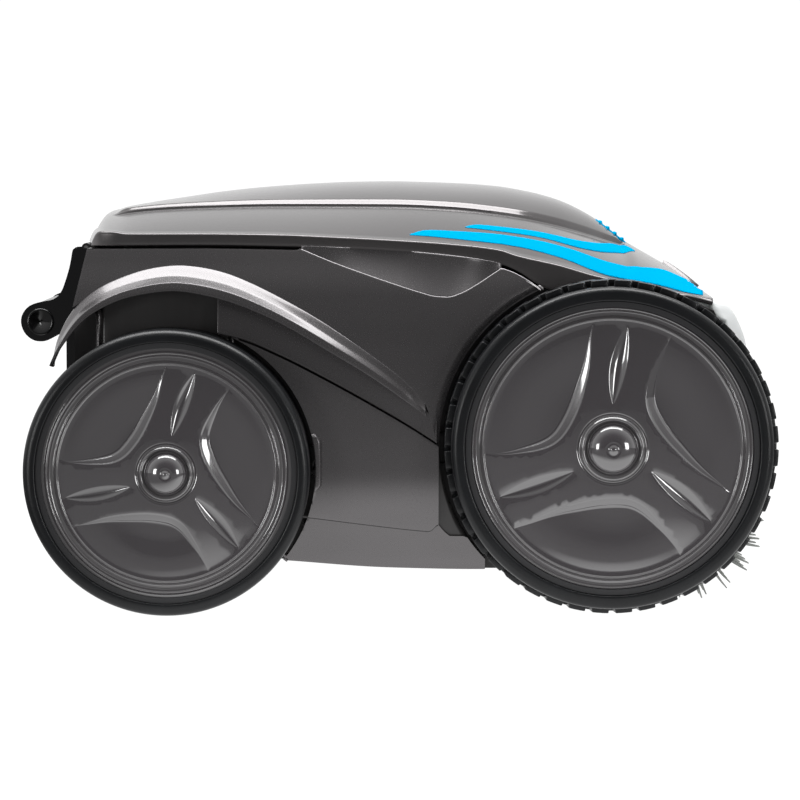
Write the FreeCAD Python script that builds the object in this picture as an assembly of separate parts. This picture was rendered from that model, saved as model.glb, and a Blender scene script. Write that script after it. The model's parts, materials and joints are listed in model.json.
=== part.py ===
# Four-wheel robotic pool cleaner, millimetres.
# Frame: +X forward (brush end), +Y the cleaner's left, +Z up.
# Origin: centre of the footprint, on the floor.
import FreeCAD
import Part
import os
import math

# ---------------------------------------------------------------- driving dimensions
TRACK_OUT = 205.0          # wheel outer face, from the middle plane
WHEEL_IN = 162.0           # wheel inner face
TREAD_IN = 190.0           # where the knobbly tread ends and the smooth ring starts
COVER_PEAK = 215.0         # top of the wheel cover's dome

FRONT_X, FRONT_Z, FRONT_R = 137.0, 105.5, 105.5
REAR_X, REAR_Z, REAR_R = -142.9, 90.0, 90.0
FRONT_RIM_R = 92.2
REAR_RIM_R = 82.0
SMOOTH_RING_R = 101.2
TREAD_BASE_R = 100.9
TREAD_BLOCKS = 44

AXLE_R = 6.0
RUN_FIT = 0.05             # radial clearance of every turning fit
GEAR_MODULE = 2.0
PINION_TEETH = 12
FRONT_RING_TEETH = 80
REAR_RING_TEETH = 68
BRUSH_GEAR_TEETH = 16
GEAR_OUT_Y = (165.0, 175.0)     # plane of the wheel ring gears
GEAR_IN_Y = (154.0, 160.0)      # plane of the belt and the brush gears
BACKLASH = 0.45
SHAFT_R = 4.0

BRUSH_X, BRUSH_Z = 188.1, 52.7
BRUSH_TIP_R = 49.9
BRUSH_CORE_R = 20.0
BRUSH_FINS = 18
BRUSH_Y = (4.0, 145.0)

TUB_Y = 152.0              # outer face of the lower shell's side walls
WALL = 3.0
SKIN = 3.0                 # side skins
HOOD_Y = 156.0             # widest half width of the hood
HOOD_WALL = 2.6
HUMP_Y = 87.0
TRIM_DEPTH = 0.8

HINGE_X, HINGE_Z = -203.6, 227.8
KNUCKLE_R = 3.0
HINGE_PIN_R = 1.4

GRIP_X, GRIP_Z, GRIP_R = -230.5, 180.4, 12.0
ARM_Y = (88.0, 100.0)

IMPELLER_X, IMPELLER_Z, IMPELLER_R = -166.0, 160.0, 32.0
DUCT_R = 34.0
MOTOR_BOX = (-136.0, -66.0, 112.0, 58.0, 204.0)     # x0, x1, half width, z0, z1
BASKET = (-52.0, 112.0, 112.0, 134.0, 204.0)        # x0, x1, half width, z0, z1
MOUTH = (80.0, 112.0, 14.0, 118.0)                  # x0, x1, y0, y1 of one suction mouth
MOUTH_FRAME = (72.0, 118.0)                         # x0, x1 of the floor plate round the mouths
REAR_WALL_Z = 100.0                                 # where the rear wall meets the floor
RAIL_Z = 197.2                                      # where the rear wall meets the hinge rail
BELLY_Z = 25.0

NODES = {}


# ---------------------------------------------------------------- helpers
def vec(x, y, z):
    return FreeCAD.Vector(x, y, z)


def box(x0, x1, y0, y1, z0, z1):
    return Part.makeBox(x1 - x0, y1 - y0, z1 - z0, vec(x0, y0, z0))


def rod_y(x, z, radius, y0, y1):
    return Part.makeCylinder(radius, y1 - y0, vec(x, y0, z), vec(0, 1, 0))


def rod_x(y, z, radius, x0, x1):
    return Part.makeCylinder(radius, x1 - x0, vec(x0, y, z), vec(1, 0, 0))


def rod_z(x, y, radius, z0, z1):
    return Part.makeCylinder(radius, z1 - z0, vec(x, y, z0), vec(0, 0, 1))


def face_xz(points, y):
    ring = [vec(x, y, z) for x, z in points]
    return Part.Face(Part.makePolygon(ring + ring[:1]))


def prism(points, y0, y1):
    return face_xz(points, y0).extrude(vec(0, y1 - y0, 0))


def long_prism(points, x0, x1):
    """A (y, z) outline pushed along X."""
    ring = [vec(x0, y, z) for y, z in points]
    return Part.Face(Part.makePolygon(ring + ring[:1])).extrude(vec(x1 - x0, 0, 0))


def curve_prism(spline, straight, y0, y1):
    """Outline of one smooth curve closed by straight lines through the listed points."""
    a = [vec(x, y0, z) for x, z in spline]
    curve = Part.BSplineCurve()
    curve.interpolate(a)
    rest = [a[-1]] + [vec(x, y0, z) for x, z in straight] + [a[0]]
    wire = Part.Wire([curve.toShape()] + Part.makePolygon(rest).Edges)
    return Part.Face(wire).extrude(vec(0, y1 - y0, 0))


def smooth(points, steps=4):
    """Points of a Catmull-Rom curve through the given points."""
    out = []
    last = len(points) - 1
    for i in range(last):
        p0 = points[max(i - 1, 0)]
        p1 = points[i]
        p2 = points[i + 1]
        p3 = points[min(i + 2, last)]
        for k in range(steps):
            t = k / steps
            out.append(tuple(
                0.5 * (2 * b + (c - a) * t + (2 * a - 5 * b + 4 * c - d) * t * t
                       + (3 * b - a - 3 * c + d) * t ** 3)
                for a, b, c, d in zip(p0, p1, p2, p3)))
    out.append(tuple(points[-1]))
    return out


def offset(points, d):
    """The open polyline moved d to its right-hand side."""
    out = []
    for i, (x, z) in enumerate(points):
        ax, az = points[max(i - 1, 0)]
        bx, bz = points[min(i + 1, len(points) - 1)]
        length = math.hypot(bx - ax, bz - az)
        out.append((x + (bz - az) / length * d, z - (bx - ax) / length * d))
    return out


def band(points, d):
    """Closed strip between the polyline and its offset."""
    return list(points) + offset(points, d)[::-1]


def joined(shapes):
    first = shapes[0]
    return first.fuse(shapes[1:]).removeSplitter() if len(shapes) > 1 else first


def less(shape, *tools):
    return shape.cut(list(tools)) if tools else shape


def flip(shape):
    """The same piece on the cleaner's other side."""
    return shape.mirror(vec(0, 0, 0), vec(0, 1, 0))


def turn_y(shape, x, z, degrees):
    """Turn about a line along Y, counter-clockwise when seen from -Y (x towards z)."""
    moved = shape.copy()
    moved.rotate(vec(x, 0, z), vec(0, -1, 0), degrees)
    return moved


def both(name, left):
    """One node for each side from the left-hand piece."""
    NODES[name + "_left"] = left
    NODES[name + "_right"] = flip(left)


# ---------------------------------------------------------------- outlines (x, z)
TOP = [(-203.0, 233.6), (-198.7, 240.0), (-195.9, 245.6), (-192.5, 250.2), (-186.8, 252.3),
       (-166.8, 256.5), (-118.0, 264.0), (-53.0, 269.7), (-2.0, 271.1), (50.0, 269.5),
       (81.0, 266.1), (111.6, 258.8), (135.6, 246.0), (157.4, 230.3), (186.5, 212.7),
       (204.0, 199.0)]
SPLIT = [(-203.0, 231.5), (-123.0, 232.0), (-62.0, 231.0), (-26.0, 229.6), (10.6, 227.4),
         (35.0, 225.1), (62.0, 221.0), (79.6, 214.5), (94.2, 205.5), (110.0, 201.5),
         (150.0, 200.5), (184.9, 199.6), (204.0, 195.0)]
SPLIT_GAP = 2.0
FENDER_TOP = [(-216.0, 156.5), (-214.5, 169.8), (-208.0, 184.2), (-199.5, 196.3),
              (-185.0, 206.5), (-163.0, 215.5), (-143.0, 219.5), (-127.0, 218.9),
              (-109.0, 215.5), (-91.0, 208.3), (-67.0, 196.3), (-43.0, 183.3),
              (-15.0, 163.6), (5.8, 146.8), (19.7, 131.5), (26.0, 119.0)]
FENDER_LOW = [(-215.0, 157.5), (-211.5, 166.2), (-199.5, 181.8), (-187.4, 190.8), (-169.3, 198.7),
              (-145.3, 202.9), (-127.3, 202.0), (-103.2, 196.2), (-79.0, 186.6),
              (-43.4, 166.5), (-15.3, 149.6), (12.7, 129.9), (25.4, 118.6)]
SEAM = [(-120.5, 177.1), (-97.7, 172.9), (-71.8, 161.7), (-43.6, 147.6), (-15.4, 132.1),
        (12.8, 115.2), (28.3, 105.3)]


def side_bulge(depth):
    """Front-view outline (y, z) of the body side, from the hood edge down to the sill."""
    line = smooth([(157.0, 240.0), (163.0, 222.0), (170.0, 200.0), (175.0, 170.0),
                   (177.0, 130.0), (176.0, 90.0), (171.0, 55.0), (160.0, 22.0)], 3)
    return [(y + depth, z) for y, z in line]


def side_skin(depth, thickness):
    outer = side_bulge(depth)
    inner = side_bulge(depth - thickness)
    return long_prism(outer + inner[::-1], -230.0, 245.0)


def top_line():
    return smooth(TOP, 3)


# ---------------------------------------------------------------- hood
CREASE = [(-203.0, 238.0), (-175.0, 239.5), (-74.0, 239.0), (-1.7, 235.5), (35.0, 233.0),
          (77.0, 226.5), (106.0, 220.2), (128.0, 213.5), (160.0, 207.5), (204.0, 197.5)]
GROOVE = [(-203.0, 238.6), (-187.0, 248.0), (-153.0, 253.0), (-87.7, 257.0), (-2.0, 258.5),
          (36.0, 257.3), (69.5, 254.5), (109.0, 244.4), (144.0, 231.6), (170.0, 217.0),
          (204.0, 198.0)]


def hood_section(x, grow, floor_drop):
    """Half-section corners (y, z) of the hood at station x, moved outward by grow."""
    t = (x + 205.0) / 410.0
    wide = HOOD_Y - 8.0 * (1 - min(1.0, t * 4)) - 10.0 * max(0.0, (t - 0.7) / 0.3) ** 2
    low = height_at(SPLIT, x)
    peak = height_at(TOP, x)
    crease = min(height_at(CREASE, x), peak - 0.3)
    groove = min(height_at(GROOVE, x), peak - 0.2)
    floor = low - floor_drop
    return [(0.0, peak + grow), (52.0, peak - 0.12 * (peak - groove) + grow),
            (76.0, groove + 0.45 * (peak - groove) + grow), (88.0 + grow, groove + grow),
            (wide - 10.0, crease + 0.32 * (groove - crease) + min(2.0, peak - crease) * 0.5 + grow),
            (wide - 1.5 + grow, crease + grow * 0.6), (wide + grow, max(crease - 1.5, low + 0.1)),
            (wide + 1.0 + grow, floor), (0.0, floor)]


def height_at(line, x):
    for (ax, az), (bx, bz) in zip(line, line[1:]):
        if ax <= x <= bx:
            return az + (bz - az) * (x - ax) / (bx - ax)
    return line[-1][1] if x > line[-1][0] else line[0][1]


def hood_body(grow, x0, x1, floor_drop):
    """The hood as a lump between two stations, lofted through its cross-sections."""
    marks = {x for x, z in TOP + SPLIT + CREASE + GROOVE if x0 + 1.0 < x < x1 - 1.0}
    wires = []
    for x in sorted(marks | {x0, x1}):
        half = hood_section(x, grow, floor_drop)
        ring = [vec(x, y, z) for y, z in half] + [vec(x, -y, z) for y, z in half[-2:0:-1]]
        wires.append(Part.makePolygon(ring + ring[:1]))
    return Part.makeLoft(wires, True, True)


def hump_prism(half, x0, x1, nose):
    outline = [(x0, -half + 14.0), (x0 + 12.0, -half), (x1 - 40.0, -half), (x1, -nose),
               (x1, nose), (x1 - 40.0, half), (x0 + 12.0, half), (x0, half - 14.0)]
    ring = [vec(x, y, 190.0) for x, y in outline]
    return Part.Face(Part.makePolygon(ring + ring[:1])).extrude(vec(0, 0, 100.0))


def stripe_upper():
    return [(45.0, 243.0), (49.5, 244.8), (92.0, 240.1), (121.5, 233.8), (133.0, 233.0),
            (140.5, 234.1), (153.0, 227.9), (136.0, 227.2), (121.5, 229.4), (92.0, 237.0),
            (62.7, 241.1)]


def stripe_lower():
    return [(9.9, 238.4), (20.0, 241.3), (62.5, 239.1), (91.7, 234.7), (113.7, 228.9),
            (135.6, 221.3), (150.2, 217.9), (173.6, 217.7), (199.9, 201.7), (194.0, 200.1),
            (164.8, 207.7), (147.3, 210.6), (135.6, 212.8), (106.3, 223.8), (77.0, 231.1),
            (47.9, 234.7), (18.6, 237.7)]


def make_lid():
    outer = hood_body(0.0, -203.0, 204.0, 0.0)
    cavity = hood_body(-HOOD_WALL, -196.5, 200.0, 20.0)
    core = hood_body(-TRIM_DEPTH, -201.0, 203.2, 20.0)
    opening = hump_prism(HUMP_Y, -180.0, 128.0, 40.0)
    shell = outer.cut(cavity)
    hump = shell.common(opening).cut(button_block(0.4))
    shell = shell.cut(opening).cut(button_block(0.4))
    stripes = [prism(stripe_upper(), 88.5, 170.0), prism(stripe_lower(), 88.5, 170.0)]
    stripes += [flip(stripe) for stripe in stripes]
    trims = []
    for stripe in stripes:
        inlay = shell.common(stripe).cut(core)
        trims += [solid for solid in inlay.Solids if solid.Volume > 30.0]
    shell = shell.cut(trims)
    guides = [box(136, 156, -19.0, -16.0, 216.0, 232.0), box(136, 156, 16.0, 19.0, 216.0, 232.0)]
    guides = [guide.common(cavity.fuse(shell)) for guide in guides]
    shell = joined([shell, lid_knuckles()] + guides)
    shell = shell.cut(rod_y(HINGE_X, HINGE_Z, HINGE_PIN_R + RUN_FIT, -80.0, 80.0))
    NODES["hood_shell"] = biggest(shell)
    NODES["hood_hump"] = biggest(hump)
    NODES["hood_trim"] = Part.makeCompound(trims)
    NODES["release_button"] = button()


def biggest(shape):
    return max(shape.Solids, key=lambda s: s.Volume)


def lid_knuckles():
    parts = []
    for y0, y1 in ((30.0, 46.0), (-46.0, -30.0)):
        web = prism([(HINGE_X - 2.9, HINGE_Z), (HINGE_X + 2.0, HINGE_Z + 2.2),
                     (-199.4, 232.0), (-199.4, 236.0), (-202.0, 235.5), (HINGE_X - 2.9, 231.6)],
                    y0, y1)
        parts.append(web)
        parts.append(rod_y(HINGE_X, HINGE_Z, KNUCKLE_R, y0, y1))
    return joined(parts)


# The release button slides into the hood along the slope's inward normal.
BUTTON_A = (134.5, 246.6)
BUTTON_B = (158.4, 227.9)
BUTTON_HALF = 15.0
BUTTON_DEPTH = 9.0


def slope_axes():
    dx = BUTTON_B[0] - BUTTON_A[0]
    dz = BUTTON_B[1] - BUTTON_A[1]
    length = math.hypot(dx, dz)
    return (dx / length, dz / length), (-dz / length, dx / length), length


def button_block(grow, depth=BUTTON_DEPTH + 8.0, rise=4.0):
    (ax, az), (nx, nz), length = slope_axes()
    corners = []
    for along, up in ((-grow, rise), (length + grow, rise), (length + grow, -depth),
                      (-grow, -depth)):
        corners.append((BUTTON_A[0] + ax * along + nx * up, BUTTON_A[1] + az * along + nz * up))
    return prism(corners, -BUTTON_HALF - grow, BUTTON_HALF + grow)


def button():
    (ax, az), (nx, nz), length = slope_axes()
    body = button_block(0.0, BUTTON_DEPTH, 0.0)
    ribs = []
    for k in range(4):
        along = 4.0 + k * 6.6
        cx = BUTTON_A[0] + ax * along
        cz = BUTTON_A[1] + az * along
        ribs.append(rod_y(cx, cz, 1.4, -BUTTON_HALF + 2.0, BUTTON_HALF - 2.0))
    return joined([body] + ribs)


# ---------------------------------------------------------------- lower shell
def tub_outline(inset):
    """Side outline of the lower shell; inset moves it inward everywhere but the top."""
    rear = [(-195.5, 229.5), (-197.0, 220.3), (-199.8, 210.5), (-202.8, 198.8), (-204.0, 180.0),
            (-203.0, 120.0), (-196.0, 80.0), (-178.0, 50.0), (-150.0, 36.0), (-72.0, 31.0),
            (-2.5, 26.0), (54.8, BELLY_Z), (118.0, BELLY_Z)]
    arch = []
    for degrees in (205, 190, 170, 150, 130, 110, 90, 70):
        a = math.radians(degrees)
        arch.append((BRUSH_X + 56.0 * math.cos(a), BRUSH_Z + 56.0 * math.sin(a)))
    front = [(211.0, 112.0), (214.0, 150.0), (209.0, 178.0), (204.0, 190.0)]
    if inset:
        rear = offset(rear, -inset)
        arch = [(BRUSH_X + (x - BRUSH_X) * (56.0 + inset) / 56.0,
                 BRUSH_Z + (z - BRUSH_Z) * (56.0 + inset) / 56.0) for x, z in arch]
        front = offset(front, -inset)
    return rear + arch + front


def split_floor():
    """The line just under the hood's lower edge, from front to rear."""
    return [(x, z - SPLIT_GAP) for x, z in SPLIT][::-1]


def tub_block(half, inset):
    edge = tub_outline(inset)
    lid_line = [(x, z + (60.0 if inset else 0.0)) for x, z in split_floor()
                if -195.0 < x < 203.0]
    return prism(edge + lid_line, -half, half)


def shell_band(x0, x1, z0, z1):
    """The shell's floor and end walls, between the side walls, inside one block."""
    half = TUB_Y - WALL
    strip = tub_block(half, 0.0).cut(tub_block(half + 1.0, WALL))
    return biggest(strip.common(box(x0, x1, -half, half, z0, z1)))


def make_shell_sides():
    """Flat side walls with the bearing bosses of the wheels, pinions, idler and brush."""
    y0 = TUB_Y - WALL
    wall = tub_block(TUB_Y, 0.0).common(box(-260.0, 260.0, y0, TUB_Y, 0.0, 300.0))
    cheek = prism([(118.0, BELLY_Z + 9.0), (140.0, 44.0), (170.0, 34.0), (192.0, 30.0),
                   (212.0, 46.0), (214.0, 80.0), (211.0, 114.0), (170.0, 130.0),
                   (118.0, 110.0)], y0, TUB_Y)
    bosses = [rod_y(FRONT_X, FRONT_Z, 14.0, 136.0, 160.5), rod_y(REAR_X, REAR_Z, 14.0, 136.0, 160.5),
              rod_y(*FRONT_PINION, 9.0, 140.0, 153.4), rod_y(*IDLER, 9.0, y0, 153.4)]
    turning = SHAFT_R + RUN_FIT
    holes = [rod_y(FRONT_X, FRONT_Z, AXLE_R, 130.0, 170.0), rod_y(REAR_X, REAR_Z, AXLE_R, 130.0, 170.0),
             rod_y(*FRONT_PINION, turning, 130.0, 170.0),
             rod_y(*REAR_PINION, SHAFT_R + 1.5, 130.0, 170.0),
             rod_y(*IDLER, turning, 130.0, 170.0),
             rod_y(BRUSH_X, BRUSH_Z, turning, 130.0, 170.0)]
    both("shell_side", biggest(joined([wall, cheek] + bosses).cut(holes)))


def make_lower_shell():
    """Rear wall with its hinge rail, floor, suction mouths and brush bay."""
    rail = joined([shell_band(-230.0, -150.0, RAIL_Z, 240.0)] + hinge_brackets())
    rail = rail.cut([rod_x(0, CABLE_Z, 8.0, -215.0, -190.0),
                     rod_y(HINGE_X, HINGE_Z, HINGE_PIN_R, -80.0, 80.0)])
    wall = shell_band(-230.0, -150.0, REAR_WALL_Z, RAIL_Z)
    wall = wall.cut(rod_x(0, IMPELLER_Z, DUCT_R + 2.5, -215.0, -190.0))
    NODES["shell_rear"] = Part.makeCompound([biggest(rail), biggest(wall)])
    NODES["shell_floor"] = shell_band(-230.0, MOUTH_FRAME[0], 0.0, REAR_WALL_Z)
    x0, x1, y0, y1 = MOUTH
    mouth = box(x0, x1, y0, y1, 10.0, 45.0)
    frame = shell_band(MOUTH_FRAME[0], MOUTH_FRAME[1], 0.0, REAR_WALL_Z)
    NODES["mouth_frame"] = frame.cut([mouth, flip(mouth)])
    bay = joined([shell_band(MOUTH_FRAME[1], 230.0, 0.0, 240.0), centre_bearing()])
    bay = bay.cut(rod_y(BRUSH_X, BRUSH_Z, SHAFT_R + RUN_FIT, -20.0, 20.0))
    NODES["shell_bay"] = biggest(bay)


def centre_bearing():
    """Hanger between the two brush halves."""
    ring = rod_y(BRUSH_X, BRUSH_Z, 10.0, -3.0, 3.0)
    arm = box(BRUSH_X - 7.0, BRUSH_X + 7.0, -3.0, 3.0, BRUSH_Z, BRUSH_Z + 57.5)
    return joined([ring, arm])


def hinge_brackets():
    parts = []
    for y0, y1 in ((48.0, 62.0), (-62.0, -48.0)):
        parts.append(rod_y(HINGE_X, HINGE_Z, KNUCKLE_R, y0, y1))
        parts.append(prism([(HINGE_X, HINGE_Z - 3.0), (HINGE_X + 2.0, HINGE_Z + 1.6),
                            (-194.0, HINGE_Z + 1.6), (-195.6, 216.0), (-198.4, 216.0)], y0, y1))
    return parts


FRONT_PINION = (FRONT_X - GEAR_MODULE * (FRONT_RING_TEETH - PINION_TEETH) / 2, FRONT_Z)
REAR_PINION = (REAR_X + GEAR_MODULE * (REAR_RING_TEETH - PINION_TEETH) / 2, REAR_Z)
IDLER_ARM = GEAR_MODULE * (FRONT_RING_TEETH - PINION_TEETH) / 2
BRUSH_ARM = GEAR_MODULE * (BRUSH_GEAR_TEETH + PINION_TEETH) / 2
CABLE_Z = 206.0


def meet(ax, az, ra, bx, bz, rb):
    """The upper crossing of two circles."""
    d = math.hypot(bx - ax, bz - az)
    along = (ra * ra - rb * rb + d * d) / (2 * d)
    up = math.sqrt(ra * ra - along * along)
    ux, uz = (bx - ax) / d, (bz - az) / d
    return ax + ux * along - uz * up, az + uz * along + ux * up


IDLER = meet(FRONT_X, FRONT_Z, IDLER_ARM, BRUSH_X, BRUSH_Z, BRUSH_ARM)


# ---------------------------------------------------------------- side skins
def panel_region():
    """Upper side panel: from the fender and the front wheel arch up to the hood edge."""
    fender = [p for p in smooth(FENDER_TOP, 2) if p[0] > -202.0]
    arch = front_arch(108.5, 118, 182)
    hood_edge = [p for p in split_floor() if -190.0 < p[0] < 96.0]
    rear = [(-195.5, 229.3), (-197.0, 220.3), (-199.8, 210.5), (-202.6, 199.0)]
    return fender + arch[::-1] + hood_edge + rear


def make_side_panels():
    skin = side_skin(0.0, SKIN).common(prism(panel_region(), 140.0, 200.0))
    rim = prism(band([(-195.3, 229.3), (-123.0, 230.0), (-62.0, 229.0), (-26.0, 227.6),
                      (10.6, 225.4), (35.0, 223.1), (60.0, 219.2)], 3.0), TUB_Y, 162.5)
    rim = rim.common(long_prism([(TUB_Y, 150.0), (TUB_Y, 240.0)] + side_bulge(-1.0)[:16], -230.0, 245.0))
    scoop = scoop_tool()
    well = prism(band(front_arch(108.5, 96, 176), 2.5), TUB_Y, 176.0)
    well = well.common(long_prism([(TUB_Y, 20.0), (TUB_Y, 240.0)] + side_bulge(-0.5), -230.0, 245.0))
    piece = joined([skin, rim, well]).cut(scoop)
    piece = joined([piece, scoop_liner()])
    both("side_panel", biggest(piece.cut(hood_body(0.5, -203.0, 204.0, 1.0))))


def front_arch(radius, a0, a1):
    out = []
    for degrees in range(a0, a1 + 1, 8):
        a = math.radians(degrees)
        out.append((FRONT_X + radius * math.cos(a), FRONT_Z + radius * math.sin(a)))
    return out


SCOOP = [(-59.0, 236.0), (-59.0, 228.0), (-38.0, 220.3), (-1.5, 207.6), (16.7, 201.9),
         (29.3, 199.0), (38.9, 200.0), (51.5, 205.7), (67.4, 215.8), (68.6, 236.0)]


def scoop_tool():
    return prism(SCOOP, 155.0, 190.0)


def scoop_liner():
    """Concave back of the finger scoop, joined to the panel round its lower edge."""
    edge = SCOOP[1:9]
    wall = prism(band(edge, -2.0), 154.6, 176.0)
    wall = wall.common(long_prism([(154.6, 150.0), (154.6, 232.0)] + side_bulge(-0.3)[:16],
                                  -230.0, 245.0))
    back = prism(edge + [(60.0, 218.5), (-50.0, 226.5)], 154.6, 156.6)
    return joined([wall, back])


def lower_region():
    seam = [(x, z - 1.0) for x, z in smooth(SEAM, 2)]
    return ([(-96.0, 40.0)] + seam[1:] + [(27.6, 104.3), (27.8, 100.0), (28.5, 56.0), (24.0, 50.7),
                                           (8.8, 51.5), (-23.5, 55.6), (-54.0, 59.5), (-60.0, 60.0)])


def make_lower_panels():
    clear = rod_y(REAR_X, REAR_Z, REAR_R + 3.0, 140.0, 200.0)
    proud = side_skin(1.5, SKIN + 1.5).common(prism(lower_region(), 140.0, 200.0)).cut(clear)
    under = prism([(-72.0, 33.0), (-2.5, 28.0), (54.8, 27.0), (60.0, 27.0), (38.0, 48.0),
                   (40.0, 62.0), (34.0, 104.0), (28.2, 104.0), (29.0, 55.8), (24.0, 50.2),
                   (8.8, 51.0), (-23.5, 55.1), (-62.0, 59.8)], 140.0, 200.0)
    sill = side_skin(-2.0, SKIN).common(under).cut(clear)
    sill = sill.cut(rod_y(FRONT_X, FRONT_Z, FRONT_R + 1.8, 140.0, 200.0))
    ribs = [box(-40.0, -37.0, TUB_Y, 178.0, 60.0, 72.0), box(6.0, 9.0, TUB_Y, 178.0, 56.0, 72.0),
            box(-40.0, -37.0, TUB_Y, 178.0, 128.0, 138.0), box(6.0, 9.0, TUB_Y, 178.0, 111.5, 116.0),
            box(-24.0, -21.0, TUB_Y, 178.0, 34.0, 62.0), box(15.0, 18.0, TUB_Y, 178.0, 31.0, 60.0)]
    inside = long_prism([(TUB_Y, 20.0), (TUB_Y, 240.0)] + side_bulge(-0.3), -230.0, 245.0)
    ribs = [rib.common(inside) for rib in ribs]
    panel = joined([proud, sill] + ribs).cut(NODES["side_panel_left"])
    both("lower_panel", biggest(panel))


def make_access_covers():
    """Rounded cover behind the rear tyre, on the upright between the wheels."""
    outline = [(-62.0, 114.0), (-50.0, 113.0), (-46.0, 108.0), (-45.6, 92.0), (-47.0, 80.0),
               (-53.5, 75.5), (-62.0, 75.0)]
    cover = side_skin(3.4, 1.9).common(prism(outline, 140.0, 200.0))
    cover = cover.cut(rod_y(REAR_X, REAR_Z, REAR_R + 3.0, 140.0, 200.0))
    cover = biggest(cover)
    NODES["access_covers"] = Part.makeCompound([cover, flip(cover)])


def make_fenders():
    """Arched flange over the rear wheel: a roof, a rolled lip and inner ribs."""
    top = smooth(FENDER_TOP, 3)
    low = smooth(FENDER_LOW, 3)
    region = top + low[::-1]
    roof = prism(band(top, 3.0), TUB_Y, 189.0).common(prism(region, TUB_Y, 192.0))
    lip = prism(region, 184.0, 187.5)
    edge = band(offset(top, 2.2), 11.0)
    bead = prism(edge, 187.5, 190.0).common(prism(region, 180.0, 195.0))
    fender = joined([roof, lip, bead]).cut(NODES["side_panel_left"])
    both("fender", biggest(fender))


# ---------------------------------------------------------------- front and rear trim
def make_nose():
    outer = smooth([(205.5, 193.0), (211.6, 192.9), (215.4, 192.5), (219.9, 189.5),
                    (224.5, 181.6), (229.6, 168.1), (231.0, 150.0), (228.0, 130.0),
                    (221.0, 116.0), (214.5, 112.5)], 2)
    skin = prism(band(outer, 2.5), -128.0, 128.0)
    ends = prism(outer + [(212.0, 118.0), (214.2, 150.0), (209.5, 178.0), (205.5, 188.0)],
                 125.5, 128.0)
    nose = joined([skin, ends, flip(ends)])
    nose = nose.cut(tub_block(TUB_Y + 5.0, 0.0))
    NODES["front_nose"] = biggest(nose)


def make_grille():
    frame = box(-217.0, -204.1, -62.0, 62.0, 122.0, 178.0)
    hole = box(-218.0, -203.0, -56.0, 56.0, 127.0, 173.0)
    slats = [box(-214.5, -212.0, -57.0, 57.0, 131.0 + 9.0 * k, 134.0 + 9.0 * k) for k in range(5)]
    posts = [box(-212.0, -206.0, y - 1.2, y + 1.2, 126.0, 174.0) for y in (-28.0, 0.0, 28.0)]
    grille = joined([frame.cut(hole)] + slats + posts)
    grille = grille.cut(tub_block(TUB_Y, 0.0))
    NODES["rear_grille"] = biggest(grille)


def make_handle():
    arm = [(-196.2, 225.5), (-202.5, 224.8), (-206.0, 222.0), (-208.0, 217.6), (-211.6, 207.6),
           (-214.6, 200.2), (-217.6, 195.7), (-222.6, 193.0), (-230.5, 192.4), (-242.4, 181.0),
           (-230.5, 168.5), (-221.0, 172.9), (-213.0, 176.0), (-204.2, 174.0)]
    y0, y1 = ARM_Y
    left = prism(arm, y0, y1).cut(tub_block(TUB_Y, 0.0))
    left = left.cut(rod_y(GRIP_X, GRIP_Z, GRIP_R, -90.0, y1 - 3.0))
    left = biggest(left)
    NODES["handle_arms"] = Part.makeCompound([left, flip(left)])
    NODES["handle_grip"] = rod_y(GRIP_X, GRIP_Z, GRIP_R, -y1 + 3.0, y1 - 3.0)


def make_gland():
    body = rod_x(0, CABLE_Z, 7.9, -206.0, -190.0)
    nut = Part.makeBox(10.0, 19.0, 19.0, vec(-213.5, -9.5, CABLE_Z - 9.5))
    nut = nut.common(rod_x(0, CABLE_Z, 11.0, -214.0, -203.0))
    gland = joined([body, nut.cut(tub_block(TUB_Y, 0.0))])
    gland = gland.cut(rod_x(0, CABLE_Z, 4.5, -220.0, -180.0))
    NODES["cable_gland"] = biggest(gland)


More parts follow.
